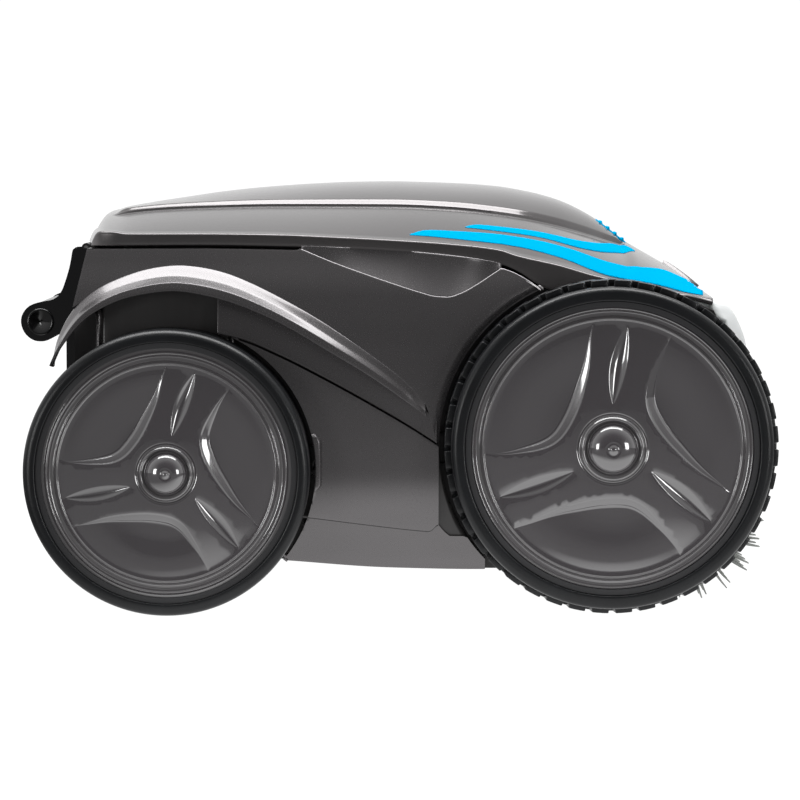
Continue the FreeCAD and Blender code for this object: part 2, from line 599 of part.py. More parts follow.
# ---------------------------------------------------------------- inside
def make_motor_block():
    x0, x1, half, z0, z1 = MOTOR_BOX
    outer = box(x0, x1, -half, half, z0, z1)
    room = box(x0 + 3.0, x1 + 1.0, -half + 3.0, half - 3.0, z0 + 3.0, z1 - 3.0)
    feet = [box(x0 + 8.0, x1 - 8.0, y - 5.0, y + 5.0, 33.4, z0) for y in (-90.0, 0.0, 90.0)]
    feet = [foot.cut(tub_shell_solid()) for foot in feet]
    case = joined([outer.cut(room)] + feet)
    case = case.cut([rod_y(*REAR_PINION, SHAFT_R + 0.3, half - 5.0, half + 5.0),
                     rod_y(*REAR_PINION, SHAFT_R + 0.3, -half - 5.0, -half + 5.0),
                     rod_x(0, IMPELLER_Z, 8.0, x0 - 1.0, x0 + 5.0)])
    NODES["motor_block"] = biggest(case)
    cover = box(x1, x1 + 3.0, -half, half, z0, z1)
    lip = box(x1 - 4.0, x1, -half + 3.0, half - 3.0, z0 + 3.0, z1 - 3.0)
    lip = lip.cut(box(x1 - 5.0, x1 + 1.0, -half + 6.0, half - 6.0, z0 + 6.0, z1 - 6.0))
    NODES["motor_block_cover"] = joined([cover, lip])
    can = rod_x(0, IMPELLER_Z, 26.0, x0 + 3.0, x1 - 8.0)
    nose = rod_x(0, IMPELLER_Z, 7.9, x0 - 4.0, x0 + 3.0)
    shaft_hole = rod_x(0, IMPELLER_Z, 3.0 + RUN_FIT, x0 - 6.0, x0 + 30.0)
    NODES["pump_motor"] = joined([can, nose]).cut(shaft_hole)
    drive = rod_y(*REAR_PINION, 16.0, 52.0, half - 3.0).cut(
        rod_y(*REAR_PINION, SHAFT_R + RUN_FIT, 70.0, half))
    NODES["drive_motors"] = Part.makeCompound([drive, flip(drive)])
    board = box(x0 + 8.0, x0 + 9.6, -46.0, 46.0, z0 + 5.0, z0 + 66.0)
    chips = [box(x0 + 9.6, x0 + 14.0, y, y + 14.0, z, z + 10.0)
             for y in (-40.0, -14.0, 20.0) for z in (z0 + 12.0, z0 + 34.0, z0 + 52.0)]
    board = joined([board] + chips).cut(rod_x(0, IMPELLER_Z, 26.4, x0, x1))
    tie = box(x0 + 3.0, x0 + 8.0, -44.0, -38.0, z0 + 8.0, z0 + 14.0)
    tie_b = box(x0 + 3.0, x0 + 8.0, 38.0, 44.0, z0 + 8.0, z0 + 14.0)
    NODES["control_board"] = joined([board, tie, tie_b])


_SOLID = {}


def tub_shell_solid():
    """The lower shell's wall, to trim what stands on it."""
    if "wall" not in _SOLID:
        _SOLID["wall"] = tub_block(TUB_Y, 0.0).cut(tub_block(TUB_Y - WALL, WALL))
    return _SOLID["wall"]


def make_impeller():
    duct = rod_x(0, IMPELLER_Z, DUCT_R + 2.5, -203.0, -140.0)
    duct = duct.cut(rod_x(0, IMPELLER_Z, DUCT_R, -210.0, -130.0))
    stays = []
    for k in range(3):
        stay = box(-143.0, -140.2, -1.5, 1.5, IMPELLER_Z + 7.9, IMPELLER_Z + DUCT_R + 0.5)
        stay.rotate(vec(0, 0, IMPELLER_Z), vec(1, 0, 0), 60 + 120 * k)
        stays.append(stay)
    hub = rod_x(0, IMPELLER_Z, 11.0, -143.0, -140.2).cut(rod_x(0, IMPELLER_Z, 7.9, -150.0, -130.0))
    NODES["impeller_duct"] = biggest(joined([duct, hub] + stays))
    core = rod_x(0, IMPELLER_Z, 10.0, -180.0, -146.0)
    shaft = rod_x(0, IMPELLER_Z, 3.0, -146.0, -112.0)
    blades = []
    for k in range(5):
        blade = Part.makeBox(30.0, 2.2, IMPELLER_R - 9.0, vec(-178.0, -1.1, IMPELLER_Z + 9.0))
        blade.rotate(vec(-163.0, 0, IMPELLER_Z), vec(0, 0, 1), 34)
        blade.rotate(vec(0, 0, IMPELLER_Z), vec(1, 0, 0), 72 * k)
        blades.append(blade)
    wheel = joined([core, shaft] + blades)
    NODES["impeller"] = wheel.common(rod_x(0, IMPELLER_Z, IMPELLER_R, -182.0, -110.0))


def make_suction():
    x0, x1, y0, y1 = MOUTH
    pins = rod_y(FLAP_X, FLAP_Z, 1.5 + RUN_FIT, -y1 - 3.0, y1 + 3.0)
    parts = [box(x0 - 2.0, x1 + 2.0, 2.0 - y0, y0 - 2.0, 124.0, 131.0)]
    for lo, hi in ((y0, y1), (-y1, -y0)):
        tube = box(x0 - 2.0, x1 + 2.0, lo - 2.0, hi + 2.0, 28.1, 131.0)
        parts.append(tube.cut([box(x0, x1, lo, hi, 20.0, 140.0), pins]))
        parts.append(box(x0, x0 + 3.0, lo, hi, 44.0, 46.0))
        parts.append(box(x1 - 3.0, x1, lo, hi, 44.0, 46.0))
    NODES["suction_duct"] = Part.makeCompound(parts)
    flap = box(FLAP_X, x1 - 0.6, y0 + 0.6, y1 - 0.6, 46.3, 47.9)
    barrel = rod_y(FLAP_X, FLAP_Z, 2.4, y0 + 0.6, y1 - 0.6)
    pin = rod_y(FLAP_X, FLAP_Z, 1.5, y0 - 1.9, y1 + 1.9)
    both("inlet_flap", joined([flap, barrel, pin]))


FLAP_X = MOUTH[0] + 3.4
FLAP_Z = 48.9


def make_basket():
    x0, x1, half, z0, z1 = BASKET
    rim = box(x0 - 4.0, x1 + 4.0, -half - 4.0, half + 4.0, z1 - 4.0, z1)
    rim = rim.cut(box(x0, x1, -half, half, z1 - 5.0, z1 + 1.0))
    posts = []
    for k in range(5):
        x = x0 + k * (x1 - x0 - 3.0) / 4.0
        posts.append(box(x, x + 3.0, -half, -half + 2.0, z0, z1))
        posts.append(box(x, x + 3.0, half - 2.0, half, z0, z1))
    for k in range(7):
        y = -half + k * (2 * half - 3.0) / 6.0
        posts.append(box(x0, x0 + 2.0, y, y + 3.0, z0, z1))
        posts.append(box(x1 - 2.0, x1, y, y + 3.0, z0, z1))
    floor = box(x0, x1, -half, half, z0, z0 + 2.5)
    inlet = joined([box(MOUTH[0] + 1.0, MOUTH[1] - 1.0, y0, y1, z0 - 1.0, z0 + 4.0)
                    for y0, y1 in ((15.0, 111.0), (-111.0, -15.0))])
    frame = joined([rim, floor] + posts).cut(inlet)
    bail_x0 = x0 + 40.0
    bail_x1 = x0 + 52.0
    bail = joined([box(bail_x0, bail_x1, -half - 4.0, -half, z1 - 1.0, z1 + 8.0),
                   box(bail_x0, bail_x1, half, half + 4.0, z1 - 1.0, z1 + 8.0),
                   box(bail_x0, bail_x1, -half - 4.0, half + 4.0, z1 + 8.0, z1 + 12.0)])
    NODES["filter_basket"] = joined([frame, bail])
    mesh = box(x0 + 2.0, x1 - 2.0, -half + 2.0, half - 2.0, z0 + 2.5, z1 - 4.0)
    mesh = mesh.cut(box(x0 + 3.0, x1 - 3.0, -half + 3.0, half - 3.0, z0, z1))
    NODES["filter_mesh"] = mesh
    seat = box(x0 - 6.0, x1 + 6.0, -TUB_Y + WALL, TUB_Y - WALL, z1 - 7.5, z1 - 4.3)
    seat = seat.cut(box(x0 - 0.6, x1 + 0.6, -half - 0.6, half + 0.6, z1 - 8.0, z1))
    NODES["filter_seat"] = seat


def make_belly():
    plate = prism([(-60.0, 26.9), (-2.5, 22.8), (54.8, 21.8), (72.0, 21.8), (72.0, 24.9),
                   (54.8, 24.9), (-2.5, 25.9), (-60.0, 30.0)], -96.0, 96.0)
    NODES["bottom_plate"] = plate.cut(tub_block(TUB_Y, 0.0))


SCREWS = [(60.0, -84.0), (60.0, 84.0), (60.0, -30.0), (60.0, 30.0)]


# ---------------------------------------------------------------- gears
def tooth_half(radius, pitch_r, slack):
    """Half angle of an involute tooth at a radius."""
    base = pitch_r * math.cos(math.radians(20))
    at = math.acos(min(1.0, base / max(radius, base)))
    ref = math.radians(20)
    thick = (math.pi * GEAR_MODULE / 2 - slack) / 2 / pitch_r
    return thick + (math.tan(ref) - ref) - (math.tan(at) - at)


def gear_ring(x, z, teeth, radii, slack, phase, y):
    pitch_r = GEAR_MODULE * teeth / 2
    pts = []
    for k in range(teeth):
        centre = phase + 2 * math.pi * k / teeth
        for r, sign in [(r, -1) for r in radii] + [(r, 1) for r in radii[::-1]]:
            a = centre + sign * tooth_half(r, pitch_r, slack)
            pts.append(vec(x + r * math.cos(a), y, z + r * math.sin(a)))
    return Part.Face(Part.makePolygon(pts + pts[:1]))


def spur(x, z, teeth, y0, y1, phase):
    pitch_r = GEAR_MODULE * teeth / 2
    radii = (pitch_r - 2.0, pitch_r, pitch_r + 1.5)
    return gear_ring(x, z, teeth, radii, BACKLASH, phase, y0).extrude(vec(0, y1 - y0, 0))


def ring_gear(x, z, teeth, outer, y0, y1, phase):
    """Internal gear: spaces are wider copies of a mating tooth."""
    pitch_r = GEAR_MODULE * teeth / 2
    radii = (pitch_r - 1.0, pitch_r + 2.1)
    hole = gear_ring(x, z, teeth, radii, -BACKLASH, phase, y0).extrude(vec(0, y1 - y0, 0))
    return rod_y(x, z, outer, y0, y1).cut(hole)


def make_drive():
    y0, y1 = GEAR_OUT_Y
    b0, b1 = GEAR_IN_Y
    pulley_r = 8.5
    front = joined([rod_y(*FRONT_PINION, SHAFT_R, 140.0, 177.0),
                    spur(*FRONT_PINION, PINION_TEETH, y0 + 0.5, y1 - 0.5, math.pi),
                    rod_y(*FRONT_PINION, pulley_r, b0, b1)])
    both("front_drive_gear", front)
    rear = joined([rod_y(*REAR_PINION, SHAFT_R, 72.0, 177.0),
                   spur(*REAR_PINION, PINION_TEETH, y0 + 0.5, y1 - 0.5, 0.0),
                   rod_y(*REAR_PINION, pulley_r, b0, b1)])
    both("rear_drive_gear", rear)
    belt = joined([belt_loop(pulley_r + 2.0)]).cut(belt_loop(pulley_r + 0.3))
    NODES["drive_belts"] = Part.makeCompound([belt, flip(belt)])
    # the idler's outer gear meshes with the wheel ring, its inner gear with the brush gear
    out_angle = math.atan2(IDLER[1] - FRONT_Z, IDLER[0] - FRONT_X)
    in_angle = math.atan2(BRUSH_Z - IDLER[1], BRUSH_X - IDLER[0])
    ring_pitch = 2 * math.pi / FRONT_RING_TEETH
    pinion_pitch = 2 * math.pi / PINION_TEETH
    off = out_angle / ring_pitch
    phase_out = out_angle - (off - round(off)) * ring_pitch * FRONT_RING_TEETH / PINION_TEETH
    phase_in = in_angle + pinion_pitch / 2
    idler = joined([rod_y(*IDLER, SHAFT_R, TUB_Y - WALL + 0.2, 177.0),
                    spur(*IDLER, PINION_TEETH, y0 + 0.5, y1 - 0.5, phase_out),
                    spur(*IDLER, PINION_TEETH, b0, b1, phase_in)])
    both("brush_idler", idler)
    return in_angle


def belt_loop(radius):
    (ax, az), (bx, bz) = REAR_PINION, FRONT_PINION
    d = math.hypot(bx - ax, bz - az)
    nx, nz = -(bz - az) / d * radius, (bx - ax) / d * radius
    b0, b1 = GEAR_IN_Y
    slab = prism([(ax + nx, az + nz), (bx + nx, bz + nz), (bx - nx, bz - nz), (ax - nx, az - nz)],
                 b0 + 0.3, b1 - 0.3)
    return joined([slab, rod_y(ax, az, radius, b0 + 0.3, b1 - 0.3),
                   rod_y(bx, bz, radius, b0 + 0.3, b1 - 0.3)])


# ---------------------------------------------------------------- wheels
def turned(x, z, profile):
    """Solid of revolution about the wheel axis; profile is (radius, y)."""
    ring = [vec(x + r, y, z) for r, y in profile]
    face = Part.Face(Part.makePolygon(ring + ring[:1]))
    return face.revolve(vec(x, 0, z), vec(0, 1, 0), 360)


def front_tyre():
    ring = turned(FRONT_X, FRONT_Z, [
        (FRONT_RIM_R, WHEEL_IN), (TREAD_BASE_R, WHEEL_IN), (TREAD_BASE_R, TREAD_IN),
        (SMOOTH_RING_R, TREAD_IN + 1.0), (SMOOTH_RING_R, TRACK_OUT - 3.0),
        (SMOOTH_RING_R - 3.0, TRACK_OUT), (FRONT_RIM_R + 1.5, TRACK_OUT), (FRONT_RIM_R, TRACK_OUT - 1.5)])
    step = 360.0 / TREAD_BLOCKS
    blocks = []
    for row, (y0, y1) in enumerate(((WHEEL_IN + 0.5, 175.5), (176.5, 189.5))):
        for k in range(TREAD_BLOCKS):
            a0 = math.radians(step * (k + 0.5 * row) - step * 0.36)
            a1 = math.radians(step * (k + 0.5 * row) + step * 0.36)
            pts = [(FRONT_X + r * math.cos(a), FRONT_Z + r * math.sin(a))
                   for r, a in ((TREAD_BASE_R - 0.6, a0), (FRONT_R / math.cos((a1 - a0) / 2) + 0.5, a0),
                                (FRONT_R / math.cos((a1 - a0) / 2) + 0.5, a1), (TREAD_BASE_R - 0.6, a1))]
            blocks.append(prism(pts, y0, y1))
    tread = Part.makeCompound(blocks).common(rod_y(FRONT_X, FRONT_Z, FRONT_R, WHEEL_IN, TRACK_OUT))
    return ring.fuse(tread.Solids)


def rear_tyre():
    return turned(REAR_X, REAR_Z, [
        (REAR_RIM_R, WHEEL_IN), (REAR_R - 2.0, WHEEL_IN), (REAR_R, WHEEL_IN + 2.0),
        (REAR_R, TRACK_OUT - 5.0), (REAR_R - 1.5, TRACK_OUT - 1.5), (REAR_R - 5.0, TRACK_OUT),
        (REAR_RIM_R + 1.5, TRACK_OUT), (REAR_RIM_R, TRACK_OUT - 1.5)])


def rim(x, z, rim_r, teeth, phase):
    """Hub disc pressed into a drum that carries the internal gear."""
    gear_r = GEAR_MODULE * teeth / 2 + 4.5
    y0, y1 = GEAR_OUT_Y
    drum = turned(x, z, [
        (gear_r, WHEEL_IN + 0.5), (rim_r, WHEEL_IN + 0.5), (rim_r, TRACK_OUT - 2.0),
        (rim_r - 3.5, TRACK_OUT - 2.0), (rim_r - 3.5, 183.5), (rim_r - 4.5, 183.5), (gear_r, 178.0)])
    drum = drum.fuse(ring_gear(x, z, teeth, gear_r, y0, y1, phase)).removeSplitter()
    hub = turned(x, z, [
        (rim_r - 4.5, 183.5), (rim_r - 3.5, 183.5), (rim_r - 3.5, 187.0), (14.0, 187.0), (14.0, 197.0),
        (AXLE_R + RUN_FIT, 197.0), (AXLE_R + RUN_FIT, WHEEL_IN), (13.0, WHEEL_IN), (14.0, 183.5)])
    return Part.makeCompound([drum, hub])


def lobe(x, z, centre, r_in, r_out):
    """Window between two spokes: narrow at the hub, wide and rounded at the rim."""
    pts = []
    for t, r in ((0.0, r_in), (12.0, r_in + 10.0), (22.0, r_in + 22.0), (38.0, r_out * 0.93)):
        pts.append((r, centre - t))
    for k in range(9):
        pts.append((r_out, centre - 36.0 + 9.0 * k))
    for t, r in ((38.0, r_out * 0.93), (22.0, r_in + 22.0), (12.0, r_in + 10.0)):
        pts.append((r, centre + t))
    return [(x + r * math.cos(math.radians(a)), z + r * math.sin(math.radians(a))) for r, a in pts]


def lens(x, z, angle, r0, r1, width):
    """Long groove along a spoke."""
    out = []
    ca, sa = math.cos(math.radians(angle)), math.sin(math.radians(angle))
    for side in (1, -1):
        for k in range(7):
            t = k / 6.0 if side > 0 else 1 - k / 6.0
            r = r0 + (r1 - r0) * t
            w = side * width / 2 * math.sin(math.pi * t)
            out.append((x + r * ca - w * sa, z + r * sa + w * ca))
    return out[:6] + out[7:13]


def cover(x, z, rim_r, disc_r, windows, slots, inner_r):
    edge = rim_r - 3.5
    disc = turned(x, z, [
        (15.0, 197.2), (disc_r - 6.0, 193.0), (disc_r, 191.0), (edge - 1.0, 191.0), (edge, 193.0),
        (edge, TRACK_OUT - 2.0), (rim_r, TRACK_OUT - 2.0), (rim_r, TRACK_OUT - 0.5),
        (rim_r - 1.5, TRACK_OUT), (edge - 1.5, TRACK_OUT), (disc_r + 1.5, 199.0), (disc_r, 198.0),
        (disc_r - 6.0, 199.5), (disc_r * 0.55, 203.6), (22.0, 206.0), (20.0, 205.0),
        (15.6, 205.0), (15.0, 209.0), (12.0, 212.4), (7.0, 214.4), (2.5, 214.8), (2.3, COVER_PEAK),
        (0.0, COVER_PEAK), (0.0, 205.0), (9.0, 203.0), (13.0, 199.0)])
    tools = []
    for a in windows:
        pit = prism(lobe(x, z, a, inner_r, disc_r - 1.0), 190.0, 210.0)
        tools.append(pit.common(turned(x, z, [(15.0, 202.6), (disc_r * 0.55, 201.2), (disc_r - 6.0, 197.2),
                                              (disc_r + 2.0, 196.0), (disc_r + 2.0, 212.0),
                                              (15.0, 212.0)])))
    for a in slots:
        groove = prism(lens(x, z, a, inner_r - 4.0, disc_r - 3.0, 10.0), 190.0, 210.0)
        tools.append(groove.common(turned(x, z, [(15.0, 204.4), (disc_r * 0.55, 202.0),
                                                 (disc_r - 6.0, 198.0), (disc_r, 196.6),
                                                 (disc_r, 212.0), (15.0, 212.0)])))
    posts = [rod_y(x + (disc_r - 3) * math.cos(math.radians(a)), z + (disc_r - 3) * math.sin(math.radians(a)),
                   3.0, 187.0, 195.0) for a in windows]
    return joined([disc.cut(tools)] + posts)


def make_wheels():
    sides = {"right": -1, "left": 1}
    for side, sign in sides.items():
        pieces = {
            "front_tyre": front_tyre(),
            "rear_tyre": rear_tyre(),
            "front_rim": rim(FRONT_X, FRONT_Z, FRONT_RIM_R, FRONT_RING_TEETH, 0.0),
            "rear_rim": rim(REAR_X, REAR_Z, REAR_RIM_R, REAR_RING_TEETH, 0.0),
            "front_cover": cover(FRONT_X, FRONT_Z, FRONT_RIM_R, 82.2, (22.6, 141.0, 262.0),
                                 (82.6, 204.9, 324.4), 32.0),
            "rear_cover": cover(REAR_X, REAR_Z, REAR_RIM_R, 69.0, (11.4, 131.4, 252.4),
                                (73.8, 195.3, 315.4), 28.0)}
        for name, piece in pieces.items():
            NODES[name + "_" + side] = piece if sign > 0 else flip(piece)


# ---------------------------------------------------------------- brush
def make_brush(in_angle):
    y0, y1 = BRUSH_Y
    b0, b1 = GEAR_IN_Y
    core = rod_y(BRUSH_X, BRUSH_Z, BRUSH_CORE_R, y0, y1)
    shaft = rod_y(BRUSH_X, BRUSH_Z, SHAFT_R, 0.4, b1)
    gear = spur(BRUSH_X, BRUSH_Z, BRUSH_GEAR_TEETH, b0, b1, in_angle + math.pi)
    both("brush_core", joined([core, shaft, gear]))
    fins = []
    for k in range(BRUSH_FINS):
        fin = prism([(BRUSH_X + BRUSH_CORE_R - 0.4, BRUSH_Z - 2.6), (BRUSH_X + BRUSH_TIP_R, BRUSH_Z - 0.4),
                     (BRUSH_X + BRUSH_TIP_R, BRUSH_Z + 0.4), (BRUSH_X + BRUSH_CORE_R - 0.4, BRUSH_Z + 2.6)],
                    y0 + 2.0, y1 - 2.0)
        fins.append(turn_y(fin, BRUSH_X, BRUSH_Z, 360.0 / BRUSH_FINS * k - 1.0))
    sleeve = rod_y(BRUSH_X, BRUSH_Z, BRUSH_CORE_R + 2.0, y0 + 2.0, y1 - 2.0)
    fins = joined([sleeve] + fins).cut(rod_y(BRUSH_X, BRUSH_Z, BRUSH_CORE_R, y0, y1))
    both("brush_fins", fins)


def make_pins():
    """Stub axles, the hood's hinge pin and the bottom plate's screws."""
    pins = [rod_y(HINGE_X, HINGE_Z, HINGE_PIN_R, -62.0, 62.0)]
    pins += [rod_z(x, y, 4.0, 20.6, 21.8) for x, y in SCREWS]
    for x, z in ((FRONT_X, FRONT_Z), (REAR_X, REAR_Z)):
        axle = joined([rod_y(x, z, AXLE_R, 137.0, 198.0), rod_y(x, z, 9.0, 198.0, 199.0)])
        pins += [axle, flip(axle)]
    NODES["pins_and_screws"] = Part.makeCompound(pins)


def main():
    make_lid()
    make_shell_sides()
    make_lower_shell()
    make_side_panels()
    make_lower_panels()
    make_access_covers()
    make_fenders()
    make_nose()
    make_grille()
    make_handle()
    make_gland()
    make_motor_block()
    make_impeller()
    make_suction()
    make_basket()
    make_belly()
    make_wheels()
    make_brush(make_drive())
    make_pins()
    os.makedirs("parts", exist_ok=True)
    for name, shape in NODES.items():
        shape.exportStep(os.path.join("parts", name + ".step"))
    total = Part.makeCompound(list(NODES.values())).BoundBox
    print(len(NODES), "nodes", total)


main()
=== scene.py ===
"""Four-wheel robotic pool cleaner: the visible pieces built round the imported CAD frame.

Sizes in this file are millimetres in the frame's axes (+X brush end, +Y left, +Z up)
and become metres where a mesh is made.
"""

import bisect
import json
import math

import bmesh
import bpy
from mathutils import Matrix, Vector
from mathutils.geometry import delaunay_2d_cdt


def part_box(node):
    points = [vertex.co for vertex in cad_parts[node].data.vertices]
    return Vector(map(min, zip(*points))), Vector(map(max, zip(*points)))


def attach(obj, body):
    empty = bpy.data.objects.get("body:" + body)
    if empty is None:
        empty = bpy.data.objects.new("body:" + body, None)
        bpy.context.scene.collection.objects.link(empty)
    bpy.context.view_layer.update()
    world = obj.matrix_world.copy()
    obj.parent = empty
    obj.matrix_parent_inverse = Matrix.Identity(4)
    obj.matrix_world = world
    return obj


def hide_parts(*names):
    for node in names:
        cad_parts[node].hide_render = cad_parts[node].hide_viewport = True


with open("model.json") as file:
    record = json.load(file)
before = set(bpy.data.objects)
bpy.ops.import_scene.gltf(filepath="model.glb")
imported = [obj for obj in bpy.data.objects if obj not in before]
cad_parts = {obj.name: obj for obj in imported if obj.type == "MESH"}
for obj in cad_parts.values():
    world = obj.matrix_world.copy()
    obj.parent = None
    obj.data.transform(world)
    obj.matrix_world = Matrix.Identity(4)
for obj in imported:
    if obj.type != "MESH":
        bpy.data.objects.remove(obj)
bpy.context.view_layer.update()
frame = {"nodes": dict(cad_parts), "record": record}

MM = 0.001
NEAR, FAR = -1, 1                       # the cleaner's right side faces the camera
SIDES = {NEAR: "right", FAR: "left"}


# ---------------------------------------------------------------- places read from the frame
def wheel_place(node):
    low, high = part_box(node)
    centre_x = (low.x + high.x) / 2 / MM
    centre_z = (low.z + high.z) / 2 / MM
    return centre_x, centre_z, (high.x - low.x) / 2 / MM


FRONT_X, FRONT_Z, FRONT_R = wheel_place("front_tyre_right")
REAR_X, REAR_Z, REAR_R = wheel_place("rear_tyre_right")
GRIP_X, GRIP_Z, GRIP_R = wheel_place("handle_grip")
BRUSH_X, BRUSH_Z = wheel_place("brush_core_right")[:2]
TYRE_IN, TYRE_OUT = (corner.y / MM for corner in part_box("front_tyre_left"))


# ---------------------------------------------------------------- small maths
def lerp(a, b, t):
    return a + (b - a) * t


def smoothstep(a, b, x):
    t = min(1.0, max(0.0, (x - a) / (b - a)))
    return t * t * (3 - 2 * t)


def curve(points):
    """A function through the points that bends smoothly and never overshoots."""
    xs = [p[0] for p in points]
    ys = [p[1] for p in points]
    last = len(xs) - 1
    gaps = [xs[i + 1] - xs[i] for i in range(last)]
    rises = [(ys[i + 1] - ys[i]) / gaps[i] for i in range(last)]
    slopes = [rises[0]]
    for i in range(1, last):
        if rises[i - 1] * rises[i] <= 0:
            slopes.append(0.0)
        else:
            w0 = 2 * gaps[i] + gaps[i - 1]
            w1 = gaps[i] + 2 * gaps[i - 1]
            slopes.append((w0 + w1) / (w0 / rises[i - 1] + w1 / rises[i]))
    slopes.append(rises[-1])

    def value(x):
        if x <= xs[0]:
            return ys[0] + slopes[0] * (x - xs[0])
        if x >= xs[-1]:
            return ys[-1] + slopes[-1] * (x - xs[-1])
        i = min(bisect.bisect_right(xs, x) - 1, last - 1)
        h = gaps[i]
        t = (x - xs[i]) / h
        return (ys[i] * (1 + 2 * t) * (1 - t) ** 2 + h * slopes[i] * t * (1 - t) ** 2
                + ys[i + 1] * t * t * (3 - 2 * t) + h * slopes[i + 1] * t * t * (t - 1))
    return value


def path(points, count):
    """Evenly spread points on a smooth curve through the given 2-D points."""
    dense = []
    last = len(points) - 1
    for i in range(last):
        p0, p1 = points[max(i - 1, 0)], points[i]
        p2, p3 = points[i + 1], points[min(i + 2, last)]
        for k in range(16):
            t = k / 16
            dense.append(tuple(
                0.5 * (2 * b + (c - a) * t + (2 * a - 5 * b + 4 * c - d) * t * t
                       + (3 * b - a - 3 * c + d) * t ** 3)
                for a, b, c, d in zip(p0, p1, p2, p3)))
    dense.append(tuple(points[-1]))
    length = [0.0]
    for a, b in zip(dense, dense[1:]):
        length.append(length[-1] + math.dist(a, b))
    out = []
    for k in range(count):
        want = length[-1] * k / (count - 1)
        i = min(bisect.bisect_right(length, want) - 1, len(dense) - 2)
        span = length[i + 1] - length[i] or 1.0
        out.append(tuple(lerp(a, b, (want - length[i]) / span)
                         for a, b in zip(dense[i], dense[i + 1])))
    return out


def steps(start, stop, count):
    return [lerp(start, stop, k / (count - 1)) for k in range(count)]


def polar(x, z, radius, angle):
    return x + radius * math.cos(angle), z + radius * math.sin(angle)


def around(x, z, radius, angle, y):
    """A 3-D point at a radius and angle about a line along Y."""
    px, pz = polar(x, z, radius, angle)
    return px, y, pz


def turns(count):
    return [2 * math.pi * k / count for k in range(count)]


# ---------------------------------------------------------------- mesh helpers
def put(name, points, faces, material, body, centre=None):
    """One piece from points in millimetres; faces are turned to look away from centre."""
    mesh = bpy.data.meshes.new(name)
    mesh.from_pydata([(x * MM, y * MM, z * MM) for x, y, z in points], [], faces)
    mesh.validate()
    mesh.update()
    if centre is not None:
        middle = Vector(centre) * MM
        lean = sum((f.center - middle).dot(f.normal) * f.area for f in mesh.polygons)
        if lean < 0:
            mesh.flip_normals()
    shade(mesh, True)
    mesh.materials.append(material)
    obj = bpy.data.objects.new(name, mesh)
    bpy.context.scene.collection.objects.link(obj)
    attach(obj, body)
    return obj


def shade(mesh, smooth):
    mesh.polygons.foreach_set("use_smooth", [smooth] * len(mesh.polygons))


def grid_faces(rows, columns, close_rows=False, close_columns=False):
    faces = []
    for i in range(rows if close_rows else rows - 1):
        for j in range(columns if close_columns else columns - 1):
            a, b = i * columns + j, i * columns + (j + 1) % columns
            c, d = (i + 1) % rows * columns + (j + 1) % columns, (i + 1) % rows * columns + j
            faces.append((a, b, c, d))
    return faces


def sheet(name, rows, material, body, centre):
    points = [p for row in rows for p in row]
    return put(name, points, grid_faces(len(rows), len(rows[0])), material, body, centre)


def flip_side(points, side):
    return [(x, y * side, z) for x, y, z in points]


def pair(name, rows, material, centre, wall, rim=0.0, segments=3, node=None):
    """A walled chassis sheet on each side, its side put into {}; the rows give the left one."""
    both = {}
    for side in (NEAR, FAR):
        obj = sheet(name.format(SIDES[side]), [flip_side(row, side) for row in rows], material,
                    "chassis", flip_side([centre], side)[0])
        if node:
            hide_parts(f"{node}_{SIDES[side]}")
        both[side] = thicken(obj, wall, rim, segments)
    return both


def thicken(obj, thickness, rim_bevel=0.0, segments=3):
    solid = obj.modifiers.new("wall", "SOLIDIFY")
    solid.thickness = thickness * MM
    solid.offset = -1
    solid.use_even_offset = False
    if rim_bevel:
        round_edges(obj, rim_bevel, segments)
    return obj


def round_edges(obj, width, segments=3, angle=35):
    bevel = obj.modifiers.new("round", "BEVEL")
    bevel.width = width * MM
    bevel.segments = segments
    bevel.limit_method = "ANGLE"
    bevel.angle_limit = math.radians(angle)
    bevel.harden_normals = False


def loft(name, bodies, material, body):
    """Closed solids in one piece, each made of rings of points with a cap at both ends."""
    points, faces = [], []
    for rings in bodies:
        first, width = len(points), len(rings[0])
        faces += [tuple(first + k for k in face)
                  for face in grid_faces(len(rings), width, close_columns=True)]
        faces.append(tuple(range(first + width - 1, first - 1, -1)))
        points += [p for ring in rings for p in ring]
        faces.append(tuple(range(len(points) - width, len(points))))
    obj = put(name, points, faces, material, body)
    volume_out(obj)
    return obj


def turned(name, x, z, profile, side, count, material, body):
    """Closed ring: (radius, y) profile turned about a line along Y."""
    points = [around(x, z, r, a, y * side) for a in turns(count) for r, y in profile]
    faces = grid_faces(count, len(profile), close_rows=True, close_columns=True)
    obj = put(name, points, faces, material, body)
    volume_out(obj)
    return obj


def slab(name, outline, y0, y1, material, body):
    """An (x, z) outline pushed along Y."""
    count = len(outline)
    points = [(x, y, z) for y in (y0, y1) for x, z in outline]
    faces = [tuple(range(count)), tuple(range(2 * count - 1, count - 1, -1))]
    for i in range(count):
        j = (i + 1) % count
        faces.append((i, j, count + j, count + i))
    middle = (sum(p[0] for p in outline) / count, (y0 + y1) / 2, sum(p[1] for p in outline) / count)
    return put(name, points, faces, material, body, middle)


def volume_out(obj):
    """Turns a closed mesh's faces outward by the sign of its volume."""
    mesh = obj.data
    mesh.calc_loop_triangles()
    total = 0.0
    for tri in mesh.loop_triangles:
        a, b, c = (mesh.vertices[i].co for i in tri.vertices)
        total += a.dot(b.cross(c))
    if total < 0:
        mesh.flip_normals()


